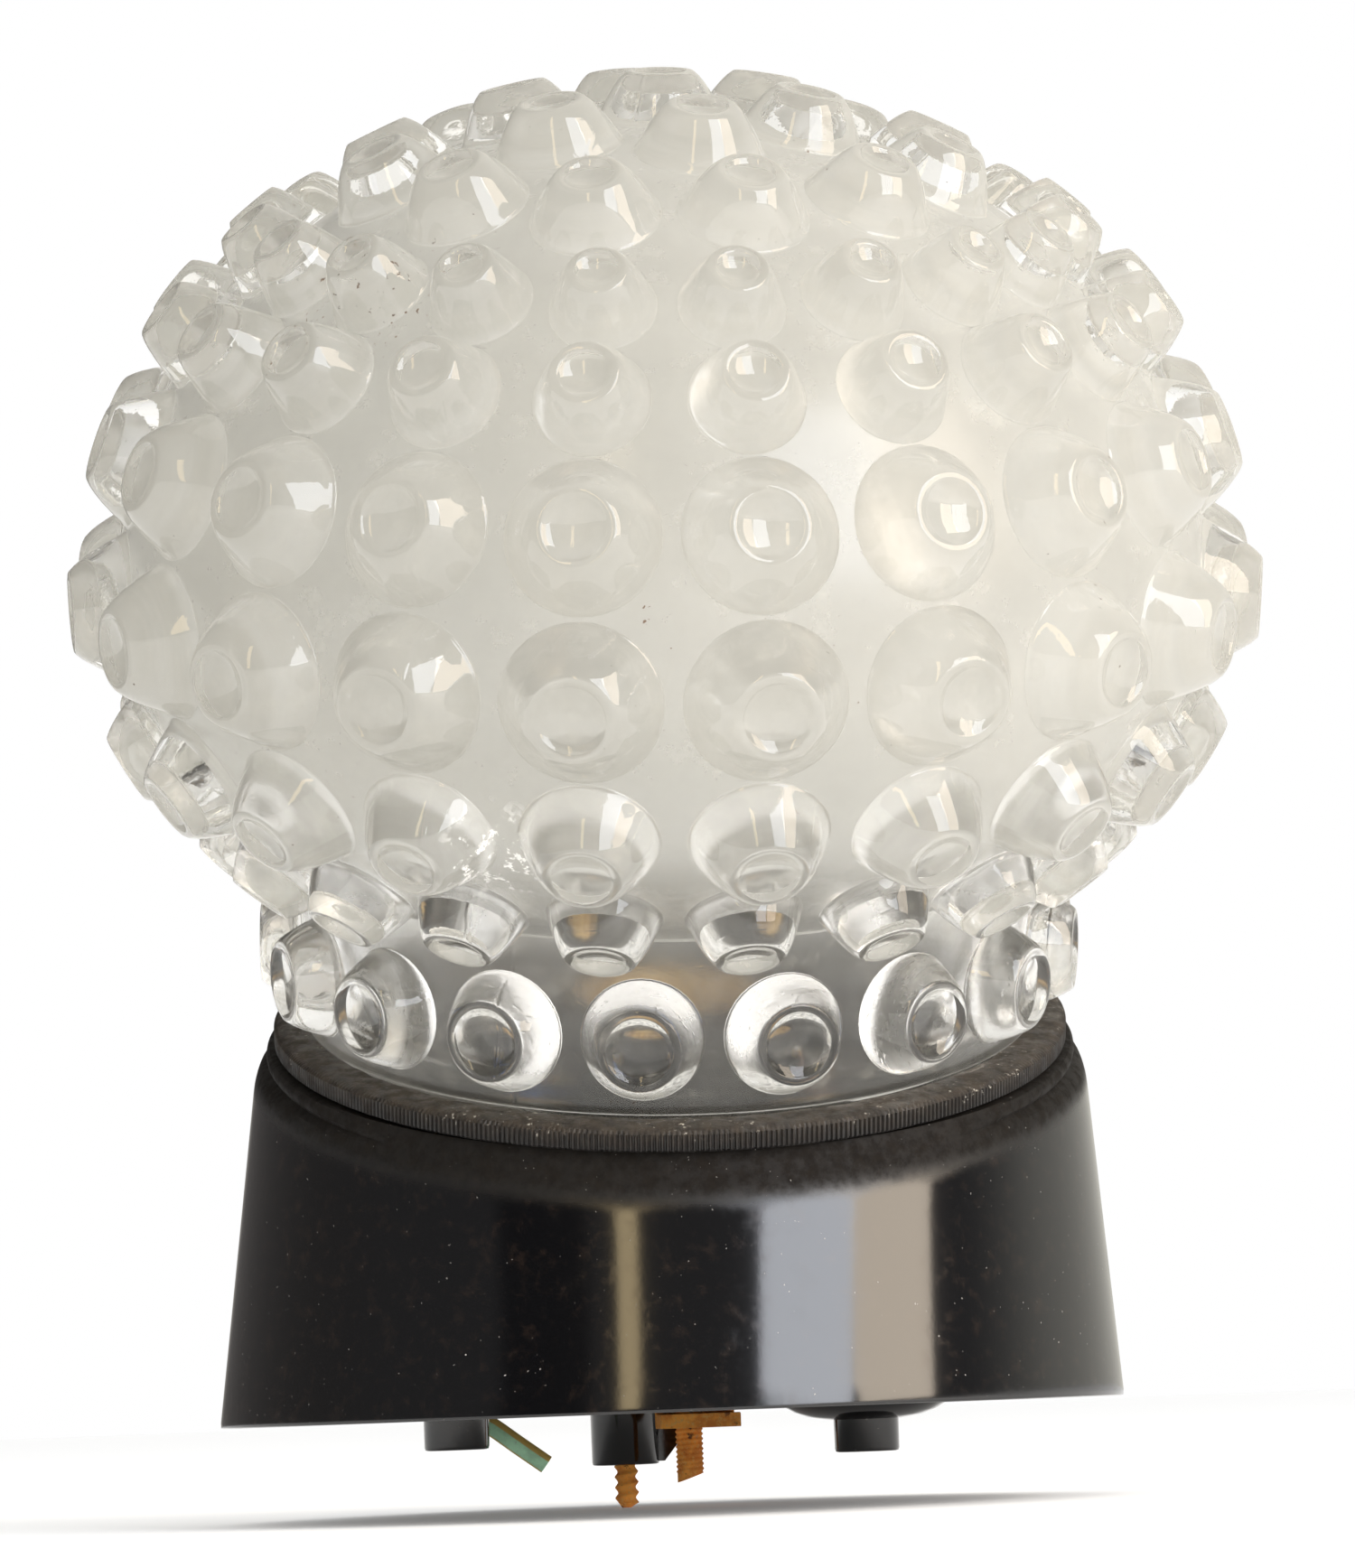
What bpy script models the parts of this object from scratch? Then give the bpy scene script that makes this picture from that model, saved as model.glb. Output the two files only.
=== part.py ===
"""Slanted black lamp base with a screw-in bubble-glass globe shade.

Two frames carry the design.  The rim frame lies in the flat mounting rim of the
housing, with +Z away from the wall.  The neck frame stands in the rim frame and
leans forwards (towards -Y); the glass, its gasket and the lampholder share its axis.
All lengths below are millimetres and are turned into metres by MM.
"""
import math

import bmesh
import bpy
from mathutils import Matrix, Vector

MM = 0.001

# ---- Driving dimensions -------------------------------------------------------
RIM_PLANE_Z = 13.4          # height of the mounting rim over the lowest point (screw tip)
RIM_CENTRE_Y = 22.3         # puts the origin under the middle of the bounding box
NECK_TILT = 20.76           # degrees between the neck axis and the mounting plane's normal
NECK_FOOT_Y = 12.7          # where the neck axis crosses the mounting plane

RIM_R = 62.5                # outer radius of the mounting rim
RIM_SHIFT_X = -1.1          # the rim circle stands a little left of the neck
SHOULDER_R = 57.9           # outer radius where the wall meets the rounded shoulder
SHOULDER_H = 47.3           # heights marked _H are along the neck axis
LEDGE_H = 55.6              # flat ledge that carries the gasket
LEDGE_R = 55.6
LEDGE_ROUND = 0.9
BEAD_PROFILE = ((0.7, 1.9), (0.9, 2.5), (1.7, 3.6))     # out and down from the ledge corner
SHOULDER_ROUND = (0.4, 2.4)            # in and up from the shoulder corner
WALL = 3.6
FLOOR_TOP_H = 30.0
FLOOR_UNDER_H = 27.0
SIDES = 40                  # flats round the housing, the threads and the gasket

THREAD_PITCH = 7.0          # round glass thread, 99 mm nominal
THREAD_DEPTH = 0.8          # half of crest to root
BORE_THREAD_R = 48.3        # mean radius of the thread in the housing
GLASS_THREAD_R = 47.75      # mean radius of the thread on the glass
BORE_LOW_H = 41.8
BORE_LIP = 1.4              # relief behind both ends of the housing thread
BORE_CHAMFER = 0.8
BORE_STEP_H = 2.0
GLASS_LOW_H = 43.4
THREAD_ROWS = 14
THREAD_RUNOUT = 1.2         # plain neck between the thread and the glass collar

GAP = 0.3                   # play between pieces that only rest on each other
CUT_MARGIN = 3.0            # how far a cutting tool stands out of the material
HOLE_SIDES = 12
POST_SIDES = 16

GASKET_IN_R = 49.3
GASKET_OUT_R = 54.6
GASKET_T = 3.1
GASKET_ROUND = 0.5

COLLAR_R = 50.4             # glass collar below the globe
COLLAR_LOW_H = 59.4
GLOBE_R = 73.3              # outer half-axes of the globe, without bosses
GLOBE_TOP = 62.0
GLOBE_BOTTOM = 51.8
GLOBE_MID_H = 120.5
GLASS_WALL = 4.0
GLASS_NECK_BORE_R = 43.4
COLLAR_CHAMFER = 0.8
INNER_SIDES = 24
INNER_ROWS = 10
INNER_POLE = 78.0           # degrees of latitude where the inner dome closes flat
BOSS_HEIGHT = 6.2
BOSS_DISH = 0.8
BOSS_SIDES = 8
CELL_GAP = 0.15             # keeps neighbouring rings of boss cells apart

# One line per ring of bosses: count, turn in degrees, arc length from the pole,
# foot radius, cap radius and height.
BOSS_RINGS = (
    (6, 11.2, 19.2, 8.7, 4.3, 6.2),
    (12, 12.4, 37.8, 8.6, 4.2, 6.4),
    (20, 5.4, 55.3, 6.9, 3.6, 7.2),
    (20, 5.4, 69.4, 7.5, 4.1, 7.5),
    (20, 5.4, 87.0, 10.0, 4.9, 6.5),
    (20, 5.4, 107.7, 10.5, 5.2, 7.0),
    (20, 5.4, 127.2, 9.2, 4.7, 6.9),
    (20, 5.4, 144.2, 7.6, 4.2, 6.2),
)
TOP_BOSS_FOOT_R = 8.8
TOP_BOSS_CAP_R = 4.3
COLLAR_BOSSES = 17
COLLAR_BOSS_TURN = 12.8
COLLAR_BOSS_H = 69.9
COLLAR_BOSS_FOOT_R = 8.2
COLLAR_BOSS_CAP_R = 5.3
COLLAR_BOSS_HEIGHT = 5.6
COLLAR_CELL_MARGIN = 0.4

LEFT_PILLAR = (-31.1, 0.0, -4.1)       # x, y and lower end in the rim frame
RIGHT_PILLAR = (25.8, 0.0, -6.4)
SCREW_BOSS = (-5.8, 33.0, -7.3)
PILLAR_R = 4.5
PILLAR_TOP = 25.7           # ends inside the sloping floor
PILLAR_BORE_R = 2.3
SCREW_BOSS_R = 4.9
SCREW_BOSS_TOP = 42.5
SCREW_BORE_R = 2.1
BORE_REACH = 20.0           # the cutting tools of the bores pass every post end by this
WEB_HALF = 1.2
WEB_FOOT = 5.6              # length of the web's flat lower edge
WEB_LENGTH = 10.4
WEB_LOW = 0.4               # over the lower end of the screw boss
WEB_RISE = 6.0
WEB_TOP = 36.0

CABLE_HOLE = (0.0, -38.0)              # x and y in the neck frame
CABLE_HOLE_R = 6.5
HOLDER_SCREW_Y = 21.4
HOLDER_BORE_R = 2.1
HOLDER_SCREW_LOW_H = 21.6
RIVET_AT = (7.0, 11.0)
RIVET_BORE_R = 1.9

HOLDER_LOW_H = FLOOR_TOP_H + GAP
HOLDER_FOOT_TOP_H = 38.0
HOLDER_TOP_H = 60.0
HOLDER_FOOT_R = 26.5
HOLDER_FOOT_HALF = 23.2
BARREL_R = 16.9
BARREL_BORE_R = 14.2
BARREL_CHAMFER = 0.8
RECESS_R = 17.5
RECESS_DEPTH = 2.5
STRAP_H = 37.8
STRAP_T = 0.8
STRAP_HALF = 2.5
STRAP_END_X = 23.0
CHANNEL_HALF = 3.1
CHANNEL_DEPTH = 2.9
CHANNEL_END_X = 24.5
LIVE_CHANNEL_X = 3.0
NEUTRAL_CHANNEL_X = -6.8
LIVE_STRAP_X = 4.9          # inner end of the live strap, where its lip stands
LIVE_LIP_RISE = 1.2
NEUTRAL_STRAP_X = -7.2      # inner end of the neutral strap, under the shell flange
NEUTRAL_STEP_X = -12.4
TONGUE = ((4.5, 39.2), (4.5, 39.9), (-0.6, 43.1), (-2.6, 43.4), (-4.4, 42.6),
          (-4.0, 42.1), (-2.6, 42.75), (-0.8, 42.4))
TONGUE_HALF = 2.1
TERMINAL_X = 19.9
TERMINAL_HOLE_R = 1.8
TERMINAL_HOLE_LOW_H = 33.4
CONTACT_SCREW_X = 8.6
SHELL_SCREW_X = -9.6
SMALL_HOLE_R = 1.5
SMALL_HOLE_LOW_H = 34.4
SMALL_SCREW_LOW_H = 34.8
SMALL_SHANK_R = 1.15
SMALL_HEAD_H = 1.4
CLAMP_X = (17.4, 23.1)
CLAMP_HALF = 3.4
CLAMP_T = 0.9
CLAMP_HOLE_R = 1.75
TERMINAL_SCREW_LOW_H = 34.0
TERMINAL_SHANK_R = 1.4
TERMINAL_HEAD = (2.4, 2.0)             # radius and height
HOLDER_HEAD = (3.4, 2.4)
HOLDER_SHANK_R = 1.75
NUT_ACROSS = 7.0
HOLDER_NUT_BORE_R = 2.45
HOLDER_NUT_T = 3.0
SHELL_FLANGE_H = 41.3
SHELL_TOP_H = 58.5
SHELL_PITCH = 3.63
SHELL_THREAD_R = 12.78
SHELL_THREAD_DEPTH = 0.52
SHELL_SHEET = 0.45
SHELL_SIDES = 18
SHELL_ROWS = 14
SHELL_HOLE_R = 6.6          # opening in the flange for the centre contact
SHELL_FLANGE_R = 12.9
SHELL_LIP_R = 13.6
SHELL_SCREW_HOLE_R = 1.6

EARTH_PLATE = (-1.9, 9.4, 12.0, 24.8)  # x and y limits in the rim frame
EARTH_PLATE_TOP = -0.3
EARTH_PLATE_T = 2.0
EARTH_STUD = (2.4, 18.0)
EARTH_STUD_R = 2.0
EARTH_STUD_LOW = -9.3
EARTH_STUD_TOP = 9.5
EARTH_STUD_TIP = 0.7
EARTH_STUD_CUT_SLOPE = 0.35
EARTH_HOLE_R = 2.3
EARTH_WASHER_R = 4.5
EARTH_WASHER_T = 0.8
EARTH_NUT_BORE_R = 2.65
EARTH_NUT_T = 3.2
BRACKET_T = 1.6
BRACKET_FLANGE_END_Y = 9.5
BRACKET_LEG_X = 4.3         # left side of the leg and the flange
RIVET_HEAD_R = 2.8
RIVET_SHANK_R = 1.5
RIVET_HEAD_H = 1.4
RIVET_ROUND = (0.8, 0.6)               # radius taken off the head and the height of its edge

MOUNTING_SHANK_R = 1.72
MOUNTING_TIP_R = 1.2
MOUNTING_TIP_H = 0.8
MOUNTING_HEAD_R = 3.6
MOUNTING_HEAD_H = 2.3
MOUNTING_HEAD_EDGE = (2.4, 0.9)        # top radius and height of the head's edge
PILLAR_WASHER = ((4.9, -1.9), (8.0, -1.4), (11.6, 0.3), (11.8, 1.2), (11.0, 1.5),
                 (8.0, 0.4), (4.9, -0.2))

WIRE_R = 1.32
WIRE_BORE_R = 1.0
CORE_R = 0.69


# ---- Scene, frames and materials ----------------------------------------------
def clear_scene():
    for old in list(bpy.data.objects):
        bpy.data.objects.remove(old, do_unlink=True)


def make_empty(name, location, parent=None, tilt=0.0):
    empty = bpy.data.objects.new(name, None)
    empty.location = Vector(location) * MM
    empty.rotation_euler = (math.radians(tilt), 0.0, 0.0)
    empty.parent = parent
    bpy.context.collection.objects.link(empty)
    return empty


def make_material(name, colour, roughness, metallic=0.0):
    material = bpy.data.materials.new(name)
    material.use_nodes = True
    shader = material.node_tree.nodes["Principled BSDF"]
    shader.inputs["Base Color"].default_value = (*colour, 1.0)
    shader.inputs["Roughness"].default_value = roughness
    shader.inputs["Metallic"].default_value = metallic
    return material


def add_solid(name, mesh_data, material, parent, smooth_angle=35.0):
    """Make a named object from (vertices, faces), with its faces turned outwards."""
    vertices, faces = mesh_data
    mesh = bpy.data.meshes.new(name)
    mesh.from_pydata([Vector(v) * MM for v in vertices], [], faces)
    work = bmesh.new()
    work.from_mesh(mesh)
    bmesh.ops.recalc_face_normals(work, faces=work.faces)
    if work.calc_volume(signed=True) < 0:
        bmesh.ops.reverse_faces(work, faces=work.faces)
    work.to_mesh(mesh)
    work.free()
    mesh.shade_smooth()
    mesh.set_sharp_from_angle(angle=math.radians(smooth_angle))
    solid = bpy.data.objects.new(name, mesh)
    solid.parent = parent
    if material:
        mesh.materials.append(material)
    bpy.context.collection.objects.link(solid)
    return solid


def combine(target, tool_name, mesh_data, parent, operation):
    """Join or cut the target with a hidden helper solid."""
    helper = add_solid(tool_name, mesh_data, None, parent)
    helper.hide_render = True
    helper.display_type = "WIRE"
    modifier = target.modifiers.new(tool_name, "BOOLEAN")
    modifier.operation = operation
    modifier.solver = "EXACT"
    modifier.object = helper


# ---- Mesh builders: each returns (vertices, faces) ----------------------------
def circle(radius, height, count, turn=0.0, centre=(0.0, 0.0)):
    points = []
    for i in range(count):
        angle = turn + 2.0 * math.pi * i / count
        x = centre[0] + radius * math.cos(angle)
        y = centre[1] + radius * math.sin(angle)
        points.append((x, y, height))
    return points


def band(faces, low, high):
    """Quads between two index rings of the same length."""
    count = len(low)
    for i in range(count):
        j = (i + 1) % count
        faces.append((low[i], low[j], high[j], high[i]))


def skin(rings, closed=False):
    """Skin equal rings of points; the ends are capped unless the loop is closed."""
    vertices = []
    index_rings = []
    for ring in rings:
        index_rings.append(list(range(len(vertices), len(vertices) + len(ring))))
        vertices.extend(ring)
    faces = []
    for low, high in zip(index_rings, index_rings[1:]):
        band(faces, low, high)
    if closed:
        band(faces, index_rings[-1], index_rings[0])
    else:
        faces.append(tuple(reversed(index_rings[0])))
        faces.append(tuple(index_rings[-1]))
    return vertices, faces


def turned(profile, count, closed=False, centre=(0.0, 0.0)):
    """Solid of revolution from (radius, height) points."""
    return skin([circle(r, h, count, 0.0, centre) for r, h in profile], closed)


def cylinder(radius, low, high, count=16, centre=(0.0, 0.0)):
    return turned(((radius, low), (radius, high)), count, centre=centre)


def prism(outline, low, high):
    """Upright prism over an (x, y) outline."""
    return skin([[(x, y, h) for x, y in outline] for h in (low, high)])


def side_prism(outline, low, high, axis="Y"):
    """Prism over an outline in x and height (axis Y) or in y and height (axis X)."""
    if axis == "Y":
        return skin([[(x, at, h) for x, h in outline] for at in (low, high)])
    return skin([[(at, y, h) for y, h in outline] for at in (low, high)])


def gather(*parts):
    """Put several closed shapes in one helper mesh."""
    vertices = []
    faces = []
    for part_vertices, part_faces in parts:
        start = len(vertices)
        vertices.extend(part_vertices)
        faces.extend(tuple(start + i for i in face) for face in part_faces)
    return vertices, faces


def smooth_path(points, steps=2):
    """Catmull-Rom curve through the control points."""
    points = [Vector(p) for p in points]
    ends = [2 * points[0] - points[1]] + points + [2 * points[-1] - points[-2]]
    path = []
    for a, b, c, d in zip(ends, ends[1:], ends[2:], ends[3:]):
        for k in range(steps):
            t = k / steps
            path.append(0.5 * (2 * b + (c - a) * t
                               + (2 * a - 5 * b + 4 * c - d) * t ** 2
                               + (3 * b - 3 * c + d - a) * t ** 3))
    path.append(points[-1])
    return path


def swept(path, outer, inner=0.0, count=6):
    """Round wire along a path; with an inner radius it is an open-ended sleeve."""
    side = Vector((0.0, 0.0, 1.0)).cross(path[1] - path[0]).normalized()
    outer_rings = []
    inner_rings = []
    for i, point in enumerate(path):
        along = (path[min(i + 1, len(path) - 1)] - path[max(i - 1, 0)]).normalized()
        side = (side - along * side.dot(along)).normalized()
        other = along.cross(side)
        for rings, radius in ((outer_rings, outer), (inner_rings, inner)):
            ring = []
            for k in range(count):
                angle = 2.0 * math.pi * k / count
                ring.append(point + side * radius * math.cos(angle)
                            + other * radius * math.sin(angle))
            rings.append(ring)
    if inner:
        return skin(outer_rings + inner_rings[::-1], closed=True)
    return skin(outer_rings)


# ---- Shared geometry ----------------------------------------------------------
NECK = (Matrix.Translation((0.0, NECK_FOOT_Y, 0.0))
        @ Matrix.Rotation(math.radians(NECK_TILT), 4, "X"))
NECK_INVERSE = NECK.inverted()


def thread_radius(mean, depth, pitch, angle, height):
    """Right-handed round thread."""
    return mean + depth * math.cos(2.0 * math.pi * height / pitch - angle)


def thread_ring(mean, depth, pitch, height, count):
    ring = []
    for i in range(count):
        angle = 2.0 * math.pi * i / count
        radius = thread_radius(mean, depth, pitch, angle, height)
        ring.append((radius * math.cos(angle), radius * math.sin(angle), height))
    return ring


def spread(low, high, steps):
    return [low + (high - low) * i / steps for i in range(steps + 1)]


def arc(centre_r, centre_h, radius, start, end, steps):
    """Points of a profile arc; angles in degrees from the outward direction."""
    points = []
    for degrees in spread(start, end, steps):
        angle = math.radians(degrees)
        points.append((centre_r + radius * math.cos(angle),
                       centre_h + radius * math.sin(angle)))
    return points


def neck_ring_in_rim(ring):
    return [tuple(NECK @ Vector(point)) for point in ring]


def wall_ring(inset, height):
    """Ring on the slanted wall, inset from its outside, at one neck height."""
    ring = []
    for i in range(SIDES):
        angle = 2.0 * math.pi * i / SIDES
        direction = Vector((math.cos(angle), math.sin(angle), 0.0))
        foot = direction * (RIM_R - inset) + Vector((RIM_SHIFT_X, 0.0, 0.0))
        top = NECK @ (direction * (SHOULDER_R - inset) + Vector((0, 0, SHOULDER_H)))
        foot_height = (NECK_INVERSE @ foot).z
        share = (height - foot_height) / (SHOULDER_H - foot_height)
        ring.append(tuple(foot.lerp(top, share)))
    return ring


# ---- Housing ------------------------------------------------------------------
def housing_mesh():
    """One skin: floor top, bore with thread, ledge, shoulder, wall, rim, floor under."""
    rings = [wall_ring(WALL, FLOOR_TOP_H), wall_ring(WALL, BORE_LOW_H + BORE_STEP_H)]
    neck_rings = [circle(BORE_THREAD_R + BORE_LIP, BORE_LOW_H - BORE_CHAMFER, SIDES)]
    for height in spread(BORE_LOW_H, LEDGE_H - BORE_CHAMFER, THREAD_ROWS):
        neck_rings.append(thread_ring(BORE_THREAD_R, THREAD_DEPTH, THREAD_PITCH, height, SIDES))
    profile = [(BORE_THREAD_R + BORE_LIP, LEDGE_H), (LEDGE_R, LEDGE_H)]
    profile += arc(LEDGE_R, LEDGE_H - LEDGE_ROUND, LEDGE_ROUND, 60, 0, 2)
    profile += [(LEDGE_R + out, LEDGE_H - down) for out, down in BEAD_PROFILE]
    profile.append((SHOULDER_R - SHOULDER_ROUND[0], SHOULDER_H + SHOULDER_ROUND[1]))
    profile.append((SHOULDER_R, SHOULDER_H))
    neck_rings += [circle(r, h, SIDES) for r, h in profile]
    rings += [neck_ring_in_rim(ring) for ring in neck_rings]
    centre = (RIM_SHIFT_X, 0.0)
    rings += [circle(RIM_R, 0.0, SIDES, 0.0, centre)]
    rings += [circle(RIM_R - WALL, 0.0, SIDES, 0.0, centre)]
    rings.append(wall_ring(WALL, FLOOR_UNDER_H))
    return skin(rings)


def post(place, radius, top):
    x, y, low = place
    return cylinder(radius, low, top, POST_SIDES, (x, y))


def bore(place, radius):
    x, y, low = place
    return cylinder(radius, low - BORE_REACH, SCREW_BOSS_TOP + BORE_REACH, HOLE_SIDES, (x, y))


def boss_web():
    """Rib beside the screw boss, with a slanted lower edge."""
    x, y, low = SCREW_BOSS
    low += WEB_LOW
    outline = ((x, low), (x + WEB_FOOT, low), (x + WEB_LENGTH, low + WEB_RISE),
               (x + WEB_LENGTH, WEB_TOP), (x, WEB_TOP))
    return side_prism(outline, y - WEB_HALF, y + WEB_HALF)


def make_housing(material, rim, neck):
    housing = add_solid("base_housing", housing_mesh(), material, rim)
    posts = ((LEFT_PILLAR, PILLAR_R, PILLAR_TOP), (RIGHT_PILLAR, PILLAR_R, PILLAR_TOP),
             (SCREW_BOSS, SCREW_BOSS_R, SCREW_BOSS_TOP))
    for number, (place, radius, top) in enumerate(posts):
        combine(housing, f"add_post_{number}", post(place, radius, top), rim, "UNION")
    combine(housing, "add_web", boss_web(), rim, "UNION")
    upright = gather(bore(LEFT_PILLAR, PILLAR_BORE_R), bore(RIGHT_PILLAR, PILLAR_BORE_R),
                     bore(SCREW_BOSS, SCREW_BORE_R))
    combine(housing, "cut_bores", upright, rim, "DIFFERENCE")
    low = FLOOR_UNDER_H - CUT_MARGIN
    high = FLOOR_TOP_H + CUT_MARGIN
    leaning = gather(cylinder(HOLDER_BORE_R, low, high, HOLE_SIDES, (0.0, HOLDER_SCREW_Y)),
                     cylinder(HOLDER_BORE_R, low, high, HOLE_SIDES, (0.0, -HOLDER_SCREW_Y)),
                     cylinder(RIVET_BORE_R, low, high, HOLE_SIDES, RIVET_AT),
                     cylinder(CABLE_HOLE_R, low, high, 20, CABLE_HOLE))
    combine(housing, "cut_floor_holes", leaning, neck, "DIFFERENCE")


# ---- Glass shade --------------------------------------------------------------
def globe_outline(steps=400):
    """Outer globe profile from the pole down: arc length, radius, height, normal."""
    rows = []
    length = 0.0
    low_angle = -math.acos(COLLAR_R / GLOBE_R)
    for i in range(steps + 1):
        angle = math.pi / 2 + (low_angle - math.pi / 2) * i / steps
        half_height = GLOBE_TOP if angle > 0 else GLOBE_BOTTOM
        radius = GLOBE_R * math.cos(angle)
        height = GLOBE_MID_H + half_height * math.sin(angle)
        if rows:
            length += math.hypot(radius - rows[-1][1], height - rows[-1][2])
        normal = Vector((math.cos(angle) / GLOBE_R, math.sin(angle) / half_height))
        rows.append((length, radius, height, normal.normalized()))
    return rows


OUTLINE = globe_outline()
GLOBE_ARC = OUTLINE[-1][0]


def on_outline(length):
    """Radius, height and normal of the globe at an arc length from the pole."""
    length = max(0.0, min(length, GLOBE_ARC))
    for low, high in zip(OUTLINE, OUTLINE[1:]):
        if length <= high[0]:
            share = (length - low[0]) / (high[0] - low[0])
            radius = low[1] + share * (high[1] - low[1])
            height = low[2] + share * (high[2] - low[2])
            return radius, height, low[3].lerp(high[3], share).normalized()
    return OUTLINE[-1][1], OUTLINE[-1][2], OUTLINE[-1][3]


class GlassSkin:
    """Collects the vertices and faces of the one closed glass body."""

    def __init__(self):
        self.vertices = []
        self.faces = []

    def point(self, position):
        self.vertices.append(tuple(position))
        return len(self.vertices) - 1

    def ring(self, radius, height, count, turn):
        """Index ring; turn is measured from the front (-Y), positive to the right."""
        indices = []
        for i in range(count):
            indices.append(self.point(around(radius, height, turn + 2 * math.pi * i / count)))
        return indices

    def bridge(self, low, high, low_turn, high_turn):
        """Triangles between two rings with different numbers of points."""
        i = 0
        j = 0
        n = len(low)
        m = len(high)
        j_start = round((low_turn - high_turn) / (2 * math.pi / m))
        base = high_turn + j_start * 2 * math.pi / m
        while i < n or j < m:
            next_low = low_turn + (i + 1) * 2 * math.pi / n
            next_high = base + (j + 1) * 2 * math.pi / m
            a = low[i % n]
            b = high[(j + j_start) % m]
            if j >= m or (i < n and next_low <= next_high):
                self.faces.append((a, low[(i + 1) % n], b))
                i += 1
            else:
                self.faces.append((a, high[(j + 1 + j_start) % m], b))
                j += 1


def around(radius, height, turn):
    return radius * math.sin(turn), -radius * math.cos(turn), height


def boss_cap(glass, centre, across, along, normal, height, cap_r, foot, start):
    """Truncated cone with a dished cap, on a foot ring of indices."""
    count = len(foot)
    cap = []
    for k in range(count):
        angle = 2 * math.pi * k / count + start
        cap.append(glass.point(centre + normal * height + across * cap_r * math.cos(angle)
                               + along * cap_r * math.sin(angle)))
    band(glass.faces, foot, cap)
    dish = glass.point(centre + normal * (height - BOSS_DISH))
    for k in range(count):
        glass.faces.append((cap[k], cap[(k + 1) % count], dish))


def boss_cells(glass, count, turn, surface, row_at, low_edge, high_edge, foot_r, cap_r, boss_h):
    """One ring of cells, each with a boss; returns the two edge rings of indices.

    surface(length) gives radius, height and normal; low_edge and high_edge are the
    lengths that bound the ring.
    """
    step = math.pi / count
    corner = -math.pi * 0.75
    edges = []
    for length in (low_edge, high_edge):
        radius, height, _ = surface(length)
        edges.append(glass.ring(radius, height, 2 * count, turn - step))
    radius, height, normal_2d = surface(row_at)
    sides = glass.ring(radius, height, count, turn - step)
    for i in range(count):
        angle = turn + 2 * step * i
        outline = [edges[0][2 * i], edges[0][2 * i + 1], edges[0][(2 * i + 2) % (2 * count)],
                   sides[(i + 1) % count],
                   edges[1][(2 * i + 2) % (2 * count)], edges[1][2 * i + 1], edges[1][2 * i],
                   sides[i]]
        foot = []
        for k in range(BOSS_SIDES):
            around_foot = 2 * math.pi * k / BOSS_SIDES + corner
            r, h, _ = surface(row_at + foot_r * math.sin(around_foot))
            foot.append(glass.point(around(r, h, angle + foot_r * math.cos(around_foot) / radius)))
        band(glass.faces, outline, foot)
        centre = Vector(around(radius, height, angle))
        across = Vector((math.cos(angle), math.sin(angle), 0.0))
        normal = Vector(around(normal_2d.x, normal_2d.y, angle))
        boss_cap(glass, centre, across, across.cross(normal), normal, boss_h, cap_r, foot,
                 corner)
    return edges[0], edges[1], turn - step


def globe_cells(glass):
    """All rings of bosses on the globe and the one at the pole; returns the lowest ring."""
    pole_foot = TOP_BOSS_FOOT_R
    first = BOSS_RINGS[0]
    edge = (pole_foot + first[2] - first[3]) / 2
    radius, height, _ = on_outline(pole_foot)
    above_turn = math.radians(first[1]) - math.pi / first[0]
    above = glass.ring(radius, height, 2 * first[0], above_turn)
    boss_cap(glass, Vector((0, 0, GLOBE_MID_H + GLOBE_TOP)), Vector((0, -1, 0)),
             Vector((1, 0, 0)), Vector((0, 0, 1)), BOSS_HEIGHT, TOP_BOSS_CAP_R, above,
             above_turn)
    for number, (count, turn, row_at, foot_r, cap_r, boss_h) in enumerate(BOSS_RINGS):
        low_edge = edge
        if number + 1 < len(BOSS_RINGS):
            after = BOSS_RINGS[number + 1]
            edge = row_at + (after[2] - row_at) * foot_r / (foot_r + after[3])
        else:
            edge = GLOBE_ARC
        upper, lower, ring_turn = boss_cells(
            glass, count, math.radians(turn), on_outline, row_at, low_edge + CELL_GAP,
            edge - CELL_GAP, foot_r, cap_r, boss_h)
        glass.bridge(above, upper, above_turn, ring_turn)
        above = lower
        above_turn = ring_turn
    return above, above_turn


def on_collar(length):
    """The collar as a surface: length is measured down from the height of its bosses."""
    return COLLAR_R, COLLAR_BOSS_H - length, Vector((1.0, 0.0))


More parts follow.
